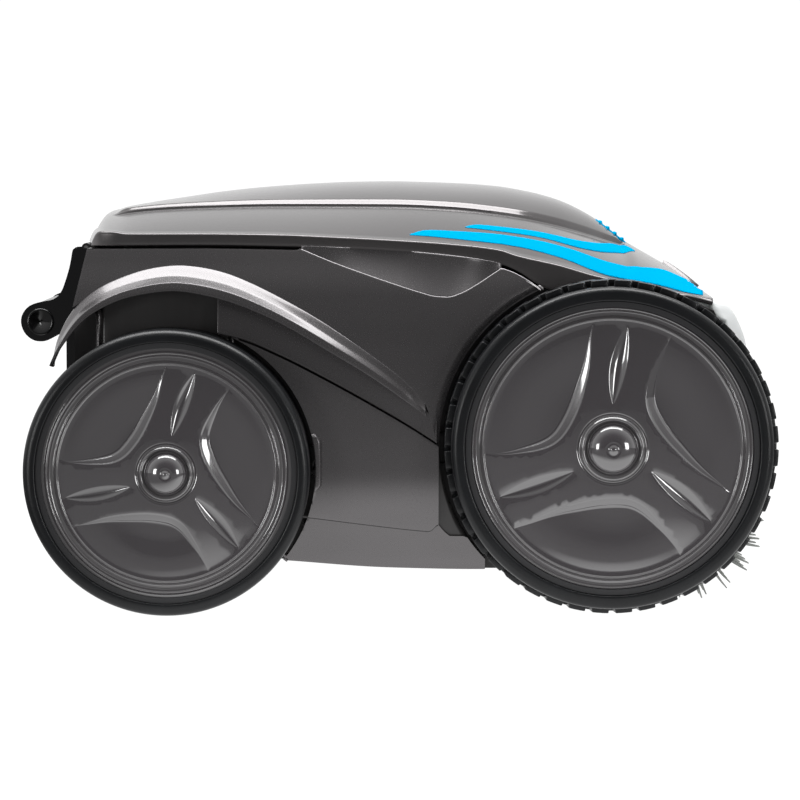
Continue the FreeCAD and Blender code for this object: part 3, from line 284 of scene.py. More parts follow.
# ---------------------------------------------------------------- materials
class Paint:
    """Short ways to add nodes to a material's or the world's node tree."""

    def __init__(self, tree):
        self.nodes, self.links = tree.nodes, tree.links

    def set(self, socket, value):
        """Links the socket to another one, or gives it a value."""
        if isinstance(value, bpy.types.NodeSocket):
            self.links.new(value, socket)
        else:
            socket.default_value = value

    def feed(self, node, **inputs):
        """Sets inputs by name; an underscore stands for a space."""
        for name, value in inputs.items():
            self.set(node.inputs[name.replace("_", " ")], value)
        return node

    def node(self, kind, **inputs):
        return self.feed(self.nodes.new("ShaderNode" + kind), **inputs)

    def maths(self, kind, operation, *values):
        """A Math or VectorMath node's first result."""
        node = self.node(kind)
        node.operation = operation
        for socket, value in zip(node.inputs, values):
            self.set(socket, value)
        return node.outputs["Value"]

    def noise(self, coords, scale, detail=3.0, rough=0.5):
        node = self.node("TexNoise", Vector=coords, Scale=scale, Detail=detail, Roughness=rough)
        return node.outputs["Fac"]

    def ramp(self, factor, stops):
        node = self.node("ValToRGB", Fac=factor)
        band = node.color_ramp
        while len(band.elements) < len(stops):
            band.elements.new(0.5)
        for element, (place, colour) in zip(band.elements, stops):
            element.position = place
            element.color = (*colour, 1.0)
        return node.outputs["Color"]

    def tones(self, factor, colour, low, high):
        """The colour from low to high brightness over a noise's middle range."""
        return self.ramp(factor, [(0.3, tint(colour, low)), (0.7, tint(colour, high))])

    def spread(self, factor, low, high):
        """A noise's middle range stretched to low and high."""
        node = self.node("MapRange", Value=factor, From_Min=0.3, From_Max=0.7, To_Min=low, To_Max=high)
        return node.outputs["Result"]

    def bump(self, height, strength, distance):
        node = self.node("Bump", Height=height, Strength=strength, Distance=distance)
        return node.outputs["Normal"]


def new_material(name):
    mat = bpy.data.materials.new(name)
    mat.use_nodes = True
    paint = Paint(mat.node_tree)
    return mat, paint, paint.nodes["Principled BSDF"], paint.node("TexCoord").outputs["Object"]


def tint(colour, gain):
    return tuple(min(1.0, c * gain) for c in colour)


def plastic(name, colour, rough=(0.2, 0.3), spread=0.12, metallic=0.0, coat=0.0, coat_rough=0.06,
            tone_scale=9.0, bump=0.02, stretch=None, specular=0.5, coat_ior=1.5):
    """Moulded plastic: slow tone changes, a fine grain in gloss and a slight surface bump."""
    mat, paint, shader, coords = new_material(name)
    place = coords
    if stretch:
        place = paint.node("Mapping", Vector=coords, Scale=stretch).outputs["Vector"]
    tone = paint.noise(place, tone_scale, 4.0)
    grain = paint.noise(coords, 1500.0, 2.0)
    wave = paint.noise(coords, 160.0, 2.0)
    paint.feed(shader, Base_Color=paint.tones(tone, colour, 1 - spread, 1 + spread),
               Roughness=paint.spread(grain, *rough), Normal=paint.bump(wave, bump, 0.0006),
               Metallic=metallic, Specular_IOR_Level=specular, Coat_Weight=coat,
               Coat_Roughness=coat_rough, Coat_IOR=coat_ior)
    return mat


def rubber(name, colour, rough=(0.42, 0.6), specular=0.5):
    mat, paint, shader, coords = new_material(name)
    tone = paint.noise(coords, 45.0, 5.0, 0.6)
    grain = paint.noise(coords, 2600.0, 2.0)
    paint.feed(shader, Base_Color=paint.tones(tone, colour, 0.75, 1.35),
               Roughness=paint.spread(grain, *rough), Normal=paint.bump(grain, 0.25, 0.0002),
               Specular_IOR_Level=specular)
    return mat


def brushed(name, colour):
    """Turned metal: grain drawn out along Y."""
    mat, paint, shader, coords = new_material(name)
    place = paint.node("Mapping", Vector=coords, Scale=(1.0, 0.05, 1.0)).outputs["Vector"]
    grain = paint.noise(place, 4000.0, 3.0)
    paint.feed(shader, Base_Color=paint.tones(grain, colour, 0.85, 1.1),
               Roughness=paint.spread(grain, 0.22, 0.38), Metallic=1.0)
    return mat


def clear_plastic(name, colour):
    mat = plastic(name, colour, rough=(0.28, 0.36), spread=0.05)
    shader = mat.node_tree.nodes["Principled BSDF"]
    shader.inputs["Transmission Weight"].default_value = 0.3
    shader.inputs["IOR"].default_value = 1.45
    return mat


def mesh_cloth(name, colour):
    """Fine filter net: two sets of threads from crossed wave bands."""
    mat, paint, shader, coords = new_material(name)
    threads = []
    for axis in ("X", "Y", "Z"):
        wave = paint.node("TexWave", Vector=coords, Scale=170.0)
        wave.bands_direction = axis
        threads.append(wave.outputs["Fac"])
    weave = paint.maths("Math", "MAXIMUM", paint.maths("Math", "MULTIPLY", threads[0], threads[2]),
                      threads[1])
    paint.feed(shader, Base_Color=paint.ramp(weave, [(0.2, tint(colour, 0.35)), (0.8, colour)]),
               Roughness=paint.spread(weave, 0.7, 0.9), Normal=paint.bump(weave, 0.5, 0.0004))
    return mat


BODY = plastic("body_metallic_grey", (0.140, 0.133, 0.136), (0.22, 0.28), 0.10, 0.70, 0.35, 0.08,
               stretch=(0.6, 1.0, 1.6), bump=0.003)
HOOD = plastic("hood_metallic_grey", (0.115, 0.108, 0.109), (0.20, 0.27), 0.08, 0.75, 0.5, 0.06,
               stretch=(0.4, 1.0, 1.4))
COVER = plastic("cover_smoked_grey", (0.056, 0.050, 0.055), (0.16, 0.22), 0.06, 0.0, 1.0, 0.05,
                specular=0.7, coat_ior=2.2)
COVER_RING = plastic("cover_ring_grey", (0.085, 0.079, 0.083), (0.18, 0.26), 0.06, 0.0, 1.0, 0.06,
                     specular=0.9, coat_ior=2.1)
# A darker copy of the body grey for the wells, arch walls, steps and the frame's body_gloss nodes:
# painted shade of the recesses.
SHADED_BODY = plastic("body_painted_shade_grey", (0.035, 0.033, 0.033), (0.3, 0.42), 0.25, 0.3, 0.2, 0.15,
                    stretch=(6.0, 1.0, 0.3))
CYAN = plastic("cyan_lacquer", (0.0, 0.33, 0.60), (0.5, 0.6), 0.04, specular=0.0)
BLACK_GLOSS = plastic("black_gloss", (0.003, 0.003, 0.0035), (0.12, 0.2), 0.3, 0.0, 0.3, 0.05)
BLACK_MATT = plastic("black_matt", (0.022, 0.022, 0.024), (0.5, 0.65), 0.25, bump=0.12)
GREY_MATT = plastic("filter_grey", (0.36, 0.38, 0.39), (0.4, 0.5), 0.08, bump=0.08)
GEAR = plastic("gear_acetal", (0.62, 0.62, 0.58), (0.35, 0.45), 0.06, bump=0.05)
BOARD = plastic("board_green", (0.012, 0.11, 0.045), (0.3, 0.5), 0.3, tone_scale=300.0)
NOSE = clear_plastic("nose_clear", (0.86, 0.88, 0.88))
TYRE = rubber("tyre_rubber", (0.006, 0.0066, 0.0078), (0.26, 0.36), specular=0.4)
BELT = rubber("belt_rubber", (0.015, 0.015, 0.016))
FIN = rubber("brush_rubber", (0.235, 0.245, 0.232), (0.45, 0.6))
STEEL = brushed("axle_steel", (0.55, 0.55, 0.54))
NET = mesh_cloth("filter_net", (0.72, 0.75, 0.76))

# The frame's body_gloss nodes take the darker body copy: painted shade.
SLOT_MATERIALS = {
    "body_gloss": SHADED_BODY, "hump_gloss": HOOD, "cyan_plastic": CYAN, "nose_clear": NOSE,
    "black_gloss": BLACK_GLOSS, "black_matte": BLACK_MATT, "steel": STEEL, "board_green": BOARD,
    "belt_rubber": BELT, "gear_plastic": GEAR, "tyre_rubber": TYRE, "rim_plastic": BLACK_MATT,
    "cover_gloss": COVER, "fin_rubber": FIN, "basket_frame": GREY_MATT, "filter_cloth": NET}


def dress_frame():
    """Every CAD node that stays visible gets its slot's material."""
    slots = {s["node"]: s["material_slot"] for s in frame["record"]["subparts"]}
    for name, obj in frame["nodes"].items():
        obj.data.materials.clear()
        obj.data.materials.append(SLOT_MATERIALS[slots[name]])


# ---------------------------------------------------------------- body lines, (x, z)
TOP = curve([(-203.5, 231.6), (-201.0, 236.0), (-198.7, 239.6), (-195.9, 245.2), (-192.5, 249.6),
             (-186.8, 252.3), (-166.8, 256.5), (-138.0, 261.0), (-118.0, 264.0), (-89.5, 267.1),
             (-53.0, 269.7), (-27.0, 270.8), (-2.0, 271.1), (24.0, 270.5), (50.0, 269.4),
             (71.0, 267.6), (81.0, 266.0), (96.0, 262.9), (111.6, 258.2), (127.0, 251.0),
             (135.6, 245.8), (157.4, 229.8), (170.0, 222.4), (186.5, 212.7), (197.0, 205.1),
             (204.0, 199.2)])
SPLIT = curve([(-203.5, 231.4), (-123.0, 232.0), (-62.0, 231.0), (-26.0, 229.6), (10.6, 227.4),
               (35.0, 225.1), (62.0, 221.2), (72.0, 218.4), (79.6, 214.8), (94.2, 205.4),
               (104.0, 201.8), (150.0, 200.6), (184.9, 199.4), (204.0, 195.2)])
CREASE = curve([(-203.5, 232.2), (-201.6, 236.8), (-199.6, 239.7), (-196.0, 240.6),
                (-189.0, 240.6), (-175.6, 239.4), (-123.0, 239.5), (-74.6, 238.9), (-38.0, 237.4),
                (-1.7, 235.5), (35.0, 233.0), (67.7, 229.1), (77.0, 226.0), (106.0, 219.2),
                (128.0, 212.8), (160.0, 206.0), (204.0, 197.6)])
GROOVE = curve([(-203.5, 242.0), (-187.0, 250.0), (-160.0, 253.6), (-125.0, 255.5),
                (-75.0, 256.6), (-2.0, 256.4), (36.0, 254.8), (77.0, 250.0), (105.0, 244.2),
                (128.0, 237.6), (145.0, 232.0), (157.0, 228.2), (204.0, 198.5)])
HUMP_HALF = curve([(-206.0, 52.0), (-190.0, 66.0), (-184.0, 78.0), (-174.0, 85.0), (-150.0, 87.0),
                   (40.0, 87.0), (80.0, 80.0), (108.0, 64.0), (128.0, 44.0), (142.0, 27.0),
                   (152.0, 17.0), (162.0, 13.0)])
WIDE = curve([(-203.5, 143.0), (-198.0, 147.5), (-185.0, 150.5), (-140.0, 154.0), (-60.0, 156.0),
              (60.0, 155.5), (130.0, 151.0), (180.0, 147.0), (204.0, 144.5)])
BULGE = curve([(20.0, 159.0), (55.0, 171.0), (90.0, 176.0), (130.0, 177.0), (170.0, 175.0),
               (200.0, 170.0), (222.0, 163.0), (240.0, 157.0)])
HOOD_BACK, HOOD_FRONT = -203.2, 204.0
HINGE_X, HINGE_Z, KNUCKLE_R = -203.6, 227.8, 2.9
HOOD_ROUND = 2.4                        # the hood's side turns into its top over this width
STRIPE_LIFT = 0.22


def deck(x, y):
    """Height of the hood beside and in front of the hump."""
    half = WIDE(x) - HOOD_ROUND
    hump = smoothstep(-189.0, -180.0, x) * (1 - smoothstep(150.0, 158.0, x))
    edge = max(10.0, HUMP_HALF(x)) + 4.0
    low = CREASE(x)
    share = 1 - (min(abs(y), half) / half) ** 2.2
    flat = low + max(0.3, TOP(x) - low) * share
    raised = low + (GROOVE(x) - 1.8 - low) * share / (1 - (edge / half) ** 2.2)
    return lerp(flat, raised, hump)


def hood_height(x, y):
    """Height of the hood's top at any point, with the hump and the groove round it."""
    base = deck(x, y)
    hump = smoothstep(-188.0, -178.0, x) * (1 - smoothstep(148.0, 157.0, x))
    if hump <= 0:
        return base
    half = HUMP_HALF(x)
    t = abs(y) / half
    rim = GROOVE(x) + 2.4
    if t < 1:
        dome = rim + (TOP(x) - rim) * (1 - t ** 2.4) - 2.2 * smoothstep(0.952, 1.0, t)
    else:
        dome = base
    beyond = abs(y) - half
    groove = 0.0
    if -0.4 < beyond < 4.2:
        groove = 2.6 * math.exp(-((beyond - 1.7) / 1.25) ** 2)
    if 2.0 < beyond < 11.0:
        groove -= 1.0 * math.exp(-((beyond - 6.0) / 1.7) ** 2)
    return lerp(base, dome - groove, hump)


def hood_row(x):
    """Points across the hood at station x, from the near lower edge over to the far one."""
    wide = WIDE(x)
    low = SPLIT(x)
    outer = wide - HOOD_ROUND
    top_edge = hood_height(x, outer)
    crease = min(CREASE(x), top_edge)
    foot = crease - min(2.0, (crease - low) * 0.5)
    half_row = []
    for t in steps(0.0, 1.0, 7):
        half_row.append((wide + 1.6 - 1.6 * t ** 0.7, lerp(low, foot, t)))
    for a in steps(0.12, 0.92, 6):
        turn = a * math.pi / 2
        half_row.append((outer + HOOD_ROUND * math.cos(turn) ** 0.8,
                         lerp(foot, top_edge, math.sin(turn))))
    hump = min(HUMP_HALF(x), outer - 8.0)
    for y in (steps(outer, hump + 10.6, 14) + steps(hump + 10.0, hump - 5.0, 34)
              + steps(hump - 6.0, 0.0, 20)):
        half_row.append((y, hood_height(x, y)))
    pull = 10.5 * (1 - smoothstep(HOOD_BACK, -148.0, x))
    placed = [(x + pull * (abs(y) / 150.0) ** 1.8, y, z) for y, z in half_row]
    return [(px, -y, z) for px, y, z in placed] + placed[-2::-1]


def hood_stations():
    return (steps(HOOD_BACK, -186.0, 14) + steps(-184.0, 128.0, 96)
            + steps(130.0, HOOD_FRONT, 40))


def build_hood():
    rows = [hood_row(x) for x in hood_stations()]
    hood = sheet("hood", rows, HOOD, "lid", (0.0, 0.0, 150.0))
    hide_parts("hood_shell", "hood_hump")
    thicken(hood, 2.4, 0.35, 2)
    rear_wall()


def rear_wall():
    """Closes the hood's back edge down to the hinge, and the hood's two hinge knuckles."""
    arc = hood_row(HOOD_BACK)
    foot = max(229.9, SPLIT(HOOD_BACK) - 0.4)
    rows = [arc, [(x + 0.6, y * 0.995, foot) for x, y, _ in arc]]
    sheet("hood_back_edge", rows, HOOD, "lid", (0.0, 0.0, 235.0))
    knuckles = [[[around(HINGE_X, HINGE_Z, KNUCKLE_R, a, y) for a in turns(18)] for y in ends]
                for ends in ((30.5, 45.5), (-45.5, -30.5))]
    obj = loft("hood_knuckles", knuckles, BLACK_MATT, "lid")
    round_edges(obj, 0.3, 2, 40)


# ---------------------------------------------------------------- cyan stripes
VIEW_X, VIEW_Y, VIEW_Z = 3.75, -2600.0, 292.5      # the camera, where the stripes' outlines are true
OUTLINE_Y = -160.0                                 # the upright plane the outlines are given on
BUTTON_CLEAR = 18.5                                # beside the button the stripes stay this far out


def hood_seen(x, z):
    """The near-side hood point on the sight line through (x, OUTLINE_Y, z)."""
    y = 120.0
    for _ in range(8):
        k = (-y - VIEW_Y) / (OUTLINE_Y - VIEW_Y)
        px = VIEW_X + (x - VIEW_X) * k
        pz = VIEW_Z + (z - VIEW_Z) * k
        low, high = 0.0, WIDE(px) - HOOD_ROUND
        for _ in range(24):
            middle = (low + high) / 2
            if deck(px, middle) > pz:
                low = middle
            else:
                high = middle
        y = low
    y = max(y, BUTTON_CLEAR * (1 - smoothstep(160.0, 175.0, px)))
    return px, y, deck(px, y) + STRIPE_LIFT


def blend(a, b, c):
    """Middle of three neighbours, laid back on the hood."""
    x, y = (a[0] + 2 * b[0] + c[0]) / 4, (a[1] + 2 * b[1] + c[1]) / 4
    return x, y, deck(x, y) + STRIPE_LIFT


def stripe(name, upper, lower, columns, rows_count):
    top_line, low_line = curve(upper), curve(lower)
    rows = []
    for x in steps(upper[0][0], upper[-1][0], columns):
        low, high = low_line(x), top_line(x)
        rows.append([hood_seen(x, lerp(low, high, t)) for t in steps(0.0, 1.0, rows_count)])
    for _ in range(4):
        rows = [rows[0]] + [[blend(a, b, c) for a, b, c in zip(*three)]
                            for three in zip(rows, rows[1:], rows[2:])] + [rows[-1]]
    both = {}
    for side in (NEAR, FAR):
        both[side] = sheet(f"{name}_{SIDES[side]}", [flip_side(row, side) for row in rows], CYAN,
                           "lid", (0.0, 0.0, 150.0))
        thicken(both[side], 0.35)
    return both


def build_stripes():
    upper = stripe("stripe_upper",
                   [(45.0, 243.2), (49.5, 244.9), (70.0, 243.2), (92.0, 240.3), (121.5, 234.0),
                    (133.0, 232.8), (142.0, 233.0), (153.0, 228.2)],
                   [(45.0, 243.0), (62.7, 241.0), (92.0, 236.8), (121.5, 229.2), (136.0, 227.0),
                    (145.0, 226.9), (153.0, 227.8)], 60, 7)
    stripe("stripe_lower",
           [(9.9, 238.6), (20.0, 241.4), (40.0, 240.6), (62.5, 239.1), (91.7, 234.7),
            (113.7, 228.9), (135.6, 221.3), (150.2, 218.2), (168.0, 217.0), (183.0, 211.2),
            (196.4, 203.8)],
           [(9.9, 238.2), (18.6, 237.6), (47.9, 234.7), (77.0, 231.0), (106.3, 223.6),
            (135.6, 212.6), (147.3, 210.2), (164.8, 207.2), (194.0, 200.3), (196.4, 200.1)], 90, 11)
    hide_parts("hood_trim")


# ---------------------------------------------------------------- release button
BUTTON_REAR, BUTTON_FRONT = (134.8, 246.3), (158.2, 228.1)
BUTTON_HALF = 15.0
RIDGE_PITCH, RIDGE_HIGH = 6.2, 1.3


def build_button():
    """Ribbed cap on the hood's slope, with edges that turn down into the hood."""
    (ax, az), (bx, bz) = BUTTON_REAR, BUTTON_FRONT
    length = math.hypot(bx - ax, bz - az)
    ux, uz = (bx - ax) / length, (bz - az) / length
    nx, nz = -uz, ux
    rows = []
    for t in steps(0.0, 1.0, 64):
        along = t * length
        ridge = max(RIDGE_HIGH * math.exp(-((along - 5.0 - RIDGE_PITCH * k) / 0.85) ** 2)
                    for k in range(4))
        end = min(1.0, min(t, 1 - t) / 0.04)
        half = BUTTON_HALF * (0.72 + 0.28 * math.sin(math.pi * min(1.0, t * 1.1 + 0.1)))
        row = []
        for y in steps(-BUTTON_HALF, BUTTON_HALF, 25):
            side = min(1.0, (BUTTON_HALF - abs(y)) / 1.5)
            rise = (0.4 + ridge * smoothstep(0.0, 1.0, side)) * end - 6.0 * (1 - end) - 5.0 * (1 - side)
            row.append((ax + ux * along + nx * rise, y / BUTTON_HALF * half,
                        az + uz * along + nz * rise))
        rows.append(row)
    button = sheet("release_button_cap", rows, CYAN, "button", (120.0, 0.0, 220.0))
    thicken(button, 1.2)
    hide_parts("release_button")


# ---------------------------------------------------------------- upper side panel and scoop
FENDER_TOP = [(-216.4, 156.0), (-215.6, 163.0), (-213.4, 172.0), (-208.0, 184.2), (-199.5, 195.6),
              (-185.0, 206.3), (-163.0, 215.3), (-143.0, 219.2), (-127.0, 218.9),
              (-109.0, 215.4), (-91.0, 208.6), (-67.0, 196.6), (-43.0, 182.6), (-15.0, 163.4),
              (5.8, 147.2), (19.5, 132.4)]
FENDER_LOW = [(-216.2, 155.8), (-214.0, 161.0), (-211.0, 166.6), (-199.5, 181.4), (-187.4, 190.8),
              (-169.3, 198.7), (-145.3, 202.9), (-127.3, 202.0), (-103.2, 196.2), (-79.0, 186.6),
              (-60.0, 176.5), (-43.4, 166.5), (-15.3, 149.6), (12.7, 129.9), (21.0, 123.5)]
SEAM = curve([(-120.5, 177.1), (-97.7, 172.4), (-71.8, 161.7), (-43.6, 147.4), (-15.4, 131.9),
              (12.8, 115.4), (28.3, 105.3)])
SCOOP = curve([(-60.0, 229.6), (-38.0, 220.6), (-18.0, 213.4), (-1.5, 207.8), (16.7, 202.0),
               (26.0, 199.6), (34.0, 199.1), (42.0, 201.4), (51.5, 206.4), (60.0, 211.8),
               (68.2, 217.2)])
PANEL_EDGE = curve([(68.2, 217.2), (75.6, 214.6), (86.4, 208.6), (95.0, 202.6)])
SEAM_HALF = 0.55                        # half the gap along the seam
ARCH_R = 108.6
SHELL_Y = 152.0                         # side of the lower shell


def panel_low(x):
    """Lower edge of the upper panel: the fender's top, then the front wheel arch."""
    if x <= 19.5:
        return FENDER_EDGE(x)
    if x <= 28.4:
        return lerp(FENDER_EDGE(19.5), 105.5, smoothstep(19.5, 28.4, x))
    return FRONT_Z + math.sqrt(max(0.0, ARCH_R ** 2 - (x - FRONT_X) ** 2))


FENDER_EDGE = curve([p for p in FENDER_TOP if p[0] > -202.0] + [(24.0, 126.5)])


def panel_high(x):
    if x < -60.0:
        return SPLIT(x) - 2.4
    if x < 68.2:
        return SCOOP(x)
    return PANEL_EDGE(x)


def side_y(x, z):
    """Outer face of the body's side: bulged, drawn in a little at both ends."""
    inward = 5.0 * smoothstep(-120.0, -205.0, x) + 3.0 * smoothstep(40.0, 110.0, x)
    return BULGE(z) - inward


def build_side_panels():
    xs = (steps(-202.4, -62.0, 60) + steps(-60.0, 26.0, 44) + steps(26.8, 34.0, 10)
          + steps(35.0, 94.6, 34))
    rows = []
    for x in xs:
        row = []
        for z in steps(panel_low(x) - 1.0, panel_high(x), 34):
            lean = 0.0
            if x < -188.0:
                lean = (z - 199.0) * 0.23 * (1 - (x + 202.4) / 14.4)
            arch = math.hypot(x - FRONT_X, z - FRONT_Z) - ARCH_R
            roll = 2.5 * math.exp(-max(0.0, arch) / 3.0)
            row.append((x + lean, side_y(x, z) - roll, z))
        rows.append(row)
    pair("upper_panel_{}", rows, BODY, (0.0, 0.0, 150.0), 2.6, 1.4, 4, "side_panel")


def build_scoops():
    """Concave finger scoop under the hood's edge, and the bright edge of the panel below it."""
    rows = []
    for x in steps(-59.0, 68.0, 90):
        low = SCOOP(x)
        high = SPLIT(x) + 0.5
        room = max(0.05, high - low)
        ends = smoothstep(-60.0, -20.0, x) * (1 - smoothstep(44.0, 70.0, x))
        deep = min(9.5, room * 0.42) * ends + 0.4
        row = []
        for t in steps(0.0, 1.0, 22):
            sink = deep * (1 - (1 - t) ** 1.5)
            row.append((x, side_y(x, low) - 2.0 - sink, lerp(low - 0.3, high, t)))
        rows.append(row)
    pair("finger_scoop_{}", rows, BODY, (0.0, 0.0, 200.0), 1.6)
    rows = []
    for x in steps(-59.0, 93.0, 110):
        high = panel_high(x)
        face = side_y(x, high)
        rows.append([(x, face + 0.15, high - 0.85), (x, face - 1.0, high + 0.3)])
    for edge in pair("panel_edge_{}", rows, BODY, (0.0, 0.0, 150.0), 0.4).values():
        shade(edge.data, False)


def build_arch_walls():
    """Return wall of the front wheel arch, from the panel's edge in to the lower shell."""
    rows = []
    for degrees in steps(117.0, 181.0, 40):
        x, z = polar(FRONT_X, FRONT_Z, ARCH_R + 0.6, math.radians(degrees))
        rows.append([(x, y, z) for y in steps(SHELL_Y, side_y(x, z) - 2.4, 5)])
    # The return wall takes the darker body copy: painted shade inside the arch.
    for wall in pair("front_arch_{}", rows, SHADED_BODY, (FRONT_X, 0.0, FRONT_Z), 1.8).values():
        wall.data.flip_normals()


# ---------------------------------------------------------------- fender
def fender_flare(t):
    """How far the fender stands out of the panel; t runs from the tail to the front tip."""
    return 10.2 * (1 - smoothstep(0.45, 1.0, t)) ** 0.8 + 0.4 - 1.4 * smoothstep(0.93, 1.0, t)


# Share of the way from the upper edge to the lower one, and share of the flare.
FENDER_SECTION = [(0.0, -0.6), (0.03, 0.0), (0.06, 0.05), (0.2, 0.19), (0.36, 0.37), (0.40, 0.42),
                  (0.44, 0.5), (0.54, 0.73), (0.62, 0.92), (0.645, 0.97), (0.66, 1.0), (0.7, 1.0),
                  (0.85, 1.0), (0.97, 1.0), (1.0, 0.97)]
FENDER_TAIL = -202.0


def build_fenders():
    count = 150
    rows = []
    for i, ((ax, az), (bx, bz)) in enumerate(zip(path(FENDER_TOP, count), path(FENDER_LOW, count))):
        flare = fender_flare(i / (count - 1))
        row = []
        for v, out in FENDER_SECTION:
            x, z = lerp(ax, bx, v), lerp(az, bz, v)
            base = side_y(max(x, FENDER_TAIL), z)
            lift = out * flare if v > 0 else out
            row.append((x, base + lift, z))
        soffit = side_y(max(bx, FENDER_TAIL), bz)
        for depth in (0.6, 4.0, 12.0, 22.0):
            row.append((bx, max(152.5, soffit + flare * 0.9 - depth), bz + 0.4 + depth * 0.03))
        rows.append(row)
    pair("fender_flange_{}", rows, BODY, (-100.0, 0.0, 120.0), 1.4, node="fender")


def build_insets():
    """Panel between the fender's lower edge and the diagonal seam."""
    low_edge = curve(FENDER_LOW)
    rows = []
    for x in steps(-112.0, 27.4, 90):
        bottom = SEAM(x) + SEAM_HALF
        tip = smoothstep(14.0, 27.4, x)
        top = lerp(low_edge(min(x, 20.5)) + 4.5, bottom + 15.0, tip)
        sunk = lerp(2.6, 1.0, smoothstep(-20.0, 27.0, x))
        rows.append([(x, side_y(x, z) - sunk, z) for z in steps(bottom, max(top, bottom + 0.5), 16)])
    pair("inset_panel_{}", rows, BODY, (0.0, 0.0, 120.0), 2.4, 0.4, 2)


WELL_POSTS = ((-188.0, 140.0, 190.0), (-103.0, 150.0, 198.0))      # x, lower end, upper end


def build_wells():
    """Recessed wheel-well wall with rounded upright corners, and the two posts on it."""
    quarter = steps(0.0, math.pi / 2, 8)
    section = [(-184.0 - 4.0 * math.cos(a), 152.2 + 7.0 * math.sin(a)) for a in quarter]
    section += [(x, 159.2) for x in steps(-180.0, -112.0, 12)]
    section += [(-107.0 + 4.0 * math.cos(a), 152.2 + 7.0 * math.sin(a)) for a in quarter[::-1]]
    rows = [[(x, y, z) for x, y in section] for z in steps(96.0, 210.0, 20)]
    # The well wall takes the darker body copy: painted shade of the recess.
    pair("well_wall_{}", rows, SHADED_BODY, (-145.0, 0.0, 150.0), 1.5)
    half_turn = [math.pi * k / 15 for k in range(16)]
    for x, low, high in WELL_POSTS:
        rows = [[(x - 2.6 * math.cos(a), 154.0 + 6.6 * math.sin(a), z) for a in half_turn]
                for z in steps(low, high, 12)]
        pair(f"well_post_{{}}_{abs(x):.0f}", rows, BODY, (x, 100.0, 150.0), 1.0)


# ---------------------------------------------------------------- lower panel
LOWER_EDGE = curve([(-110.0, 66.0), (-54.0, 59.5), (-23.5, 55.6), (8.8, 51.7), (20.0, 50.6)])
BELLY_EDGE = curve([(-110.0, 33.6), (-72.0, 31.0), (-2.5, 25.9), (54.8, 24.8), (70.0, 24.9)])
PROUD = 1.2                             # how far the lower panel stands out of the side
STEP_LOW = 47.0                         # top of the sill in front of the panel
PLATE_MIDDLE, PLATE_HALF = 94.5, 19.0


def lower_bottom(x):
    """Lower edge of the proud panel, with its rounded front corner."""
    return LOWER_EDGE(x) + smoothstep(20.0, 28.2, x) ** 2 * 5.0


def trim_to_tyre(rows):
    """Pushes points that the rear tyre's space would swallow out to its edge."""
    clear = REAR_R + 3.2
    out = []
    for row in rows:
        fixed = []
        for x, y, z in row:
            dx, dz = x - REAR_X, z - REAR_Z
            if math.hypot(dx, dz) < clear and dx > 0:
                x = REAR_X + math.sqrt(clear ** 2 - dz ** 2)
            fixed.append((x, y, z))
        out.append(fixed)
    return out


def build_lower_panels():
    rows = []
    for x in steps(-110.0, 22.0, 64) + steps(22.8, 28.2, 8):
        column = steps(lower_bottom(x), SEAM(x) - SEAM_HALF, 26)
        rows.append([(x, side_y(x, z) + PROUD, z) for z in column])
    pair("lower_side_{}", trim_to_tyre(rows), BODY, (0.0, 0.0, 100.0), 3.4, 2.0, 5, "lower_panel")


def build_sills():
    """Lower skin under the proud panel, down to the belly, a dark strip of painted shade under the
    panel's edge, and the step at its front, darkened as painted shade.
    """
    rows = []
    for x in steps(-110.0, 58.0, 60):
        dx = FRONT_X - x
        bottom = BELLY_EDGE(x)
        wheel = FRONT_Z - math.sqrt(max(0.0, 108.2 ** 2 - dx ** 2)) if dx < 108.2 else 999.0
        corner = STEP_LOW + 7.0 * (1 - smoothstep(27.0, 36.0, x))
        high = min(lower_bottom(x) + 3.0 if x < 27.5 else corner, max(wheel, bottom + 0.5))
        row = []
        for z in steps(bottom, max(high, bottom + 0.4), 20):
            row.append((x, side_y(x, max(z, 26.0)) - 2.0 - 2.0 * smoothstep(34.0, 24.0, z), z))
        rows.append(row)
    pair("sill_{}", trim_to_tyre(rows), BODY, (0.0, 0.0, 80.0), 2.4, 0.6, 2)
    # A dark strip just proud of the sill along the panel's lower edge: painted shade of the gap under
    # the panel.
    rows = []
    for x in steps(-60.0, 28.0, 50):
        low = lower_bottom(x)
        rows.append([(x, side_y(x, low) - 1.7, low + t) for t in (-0.8, 1.0)])
    pair("sill_seam_{}", rows, SHADED_BODY, (0.0, 0.0, 80.0), 0.4)
    # The step in front of the panel takes the darker body copy: painted shade.
    rows = []
    for z in steps(42.0, 105.0, 30):
        front = FRONT_X - math.sqrt(max(0.0, 108.4 ** 2 - (FRONT_Z - z) ** 2))
        rows.append([(x, side_y(x, z) - 3.4, z) for x in steps(24.0, max(25.0, front), 6)])
    pair("well_step_{}", rows, SHADED_BODY, (0.0, 0.0, 80.0), 1.6)


def build_cover_plates():
    """Rounded access cover just behind the rear tyre."""
    rows = []
    for t in steps(-1.0, 1.0, 40):
        z = PLATE_MIDDLE + PLATE_HALF * t
        reach = -45.6 - 5.0 * max(0.0, abs(t) - 0.72) / 0.28 * max(0.0, abs(t) - 0.5) * 2
        inner = max(-62.0, REAR_X + math.sqrt(max(1.0, (REAR_R + 3.4) ** 2 - (z - REAR_Z) ** 2)))
        row = []
        for u in steps(0.0, 1.0, 10):
            x = lerp(inner, reach, u)
            edge = 2.2 * (1 - smoothstep(0.62, 1.0, u)) * (1 - smoothstep(0.85, 1.0, abs(t)))
            row.append((x, side_y(x, z) + PROUD + edge, z))
        rows.append(row)
    plates = pair("access_plate_{}", rows, BODY, (0.0, 0.0, 94.0), 1.0)
    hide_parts("access_covers")


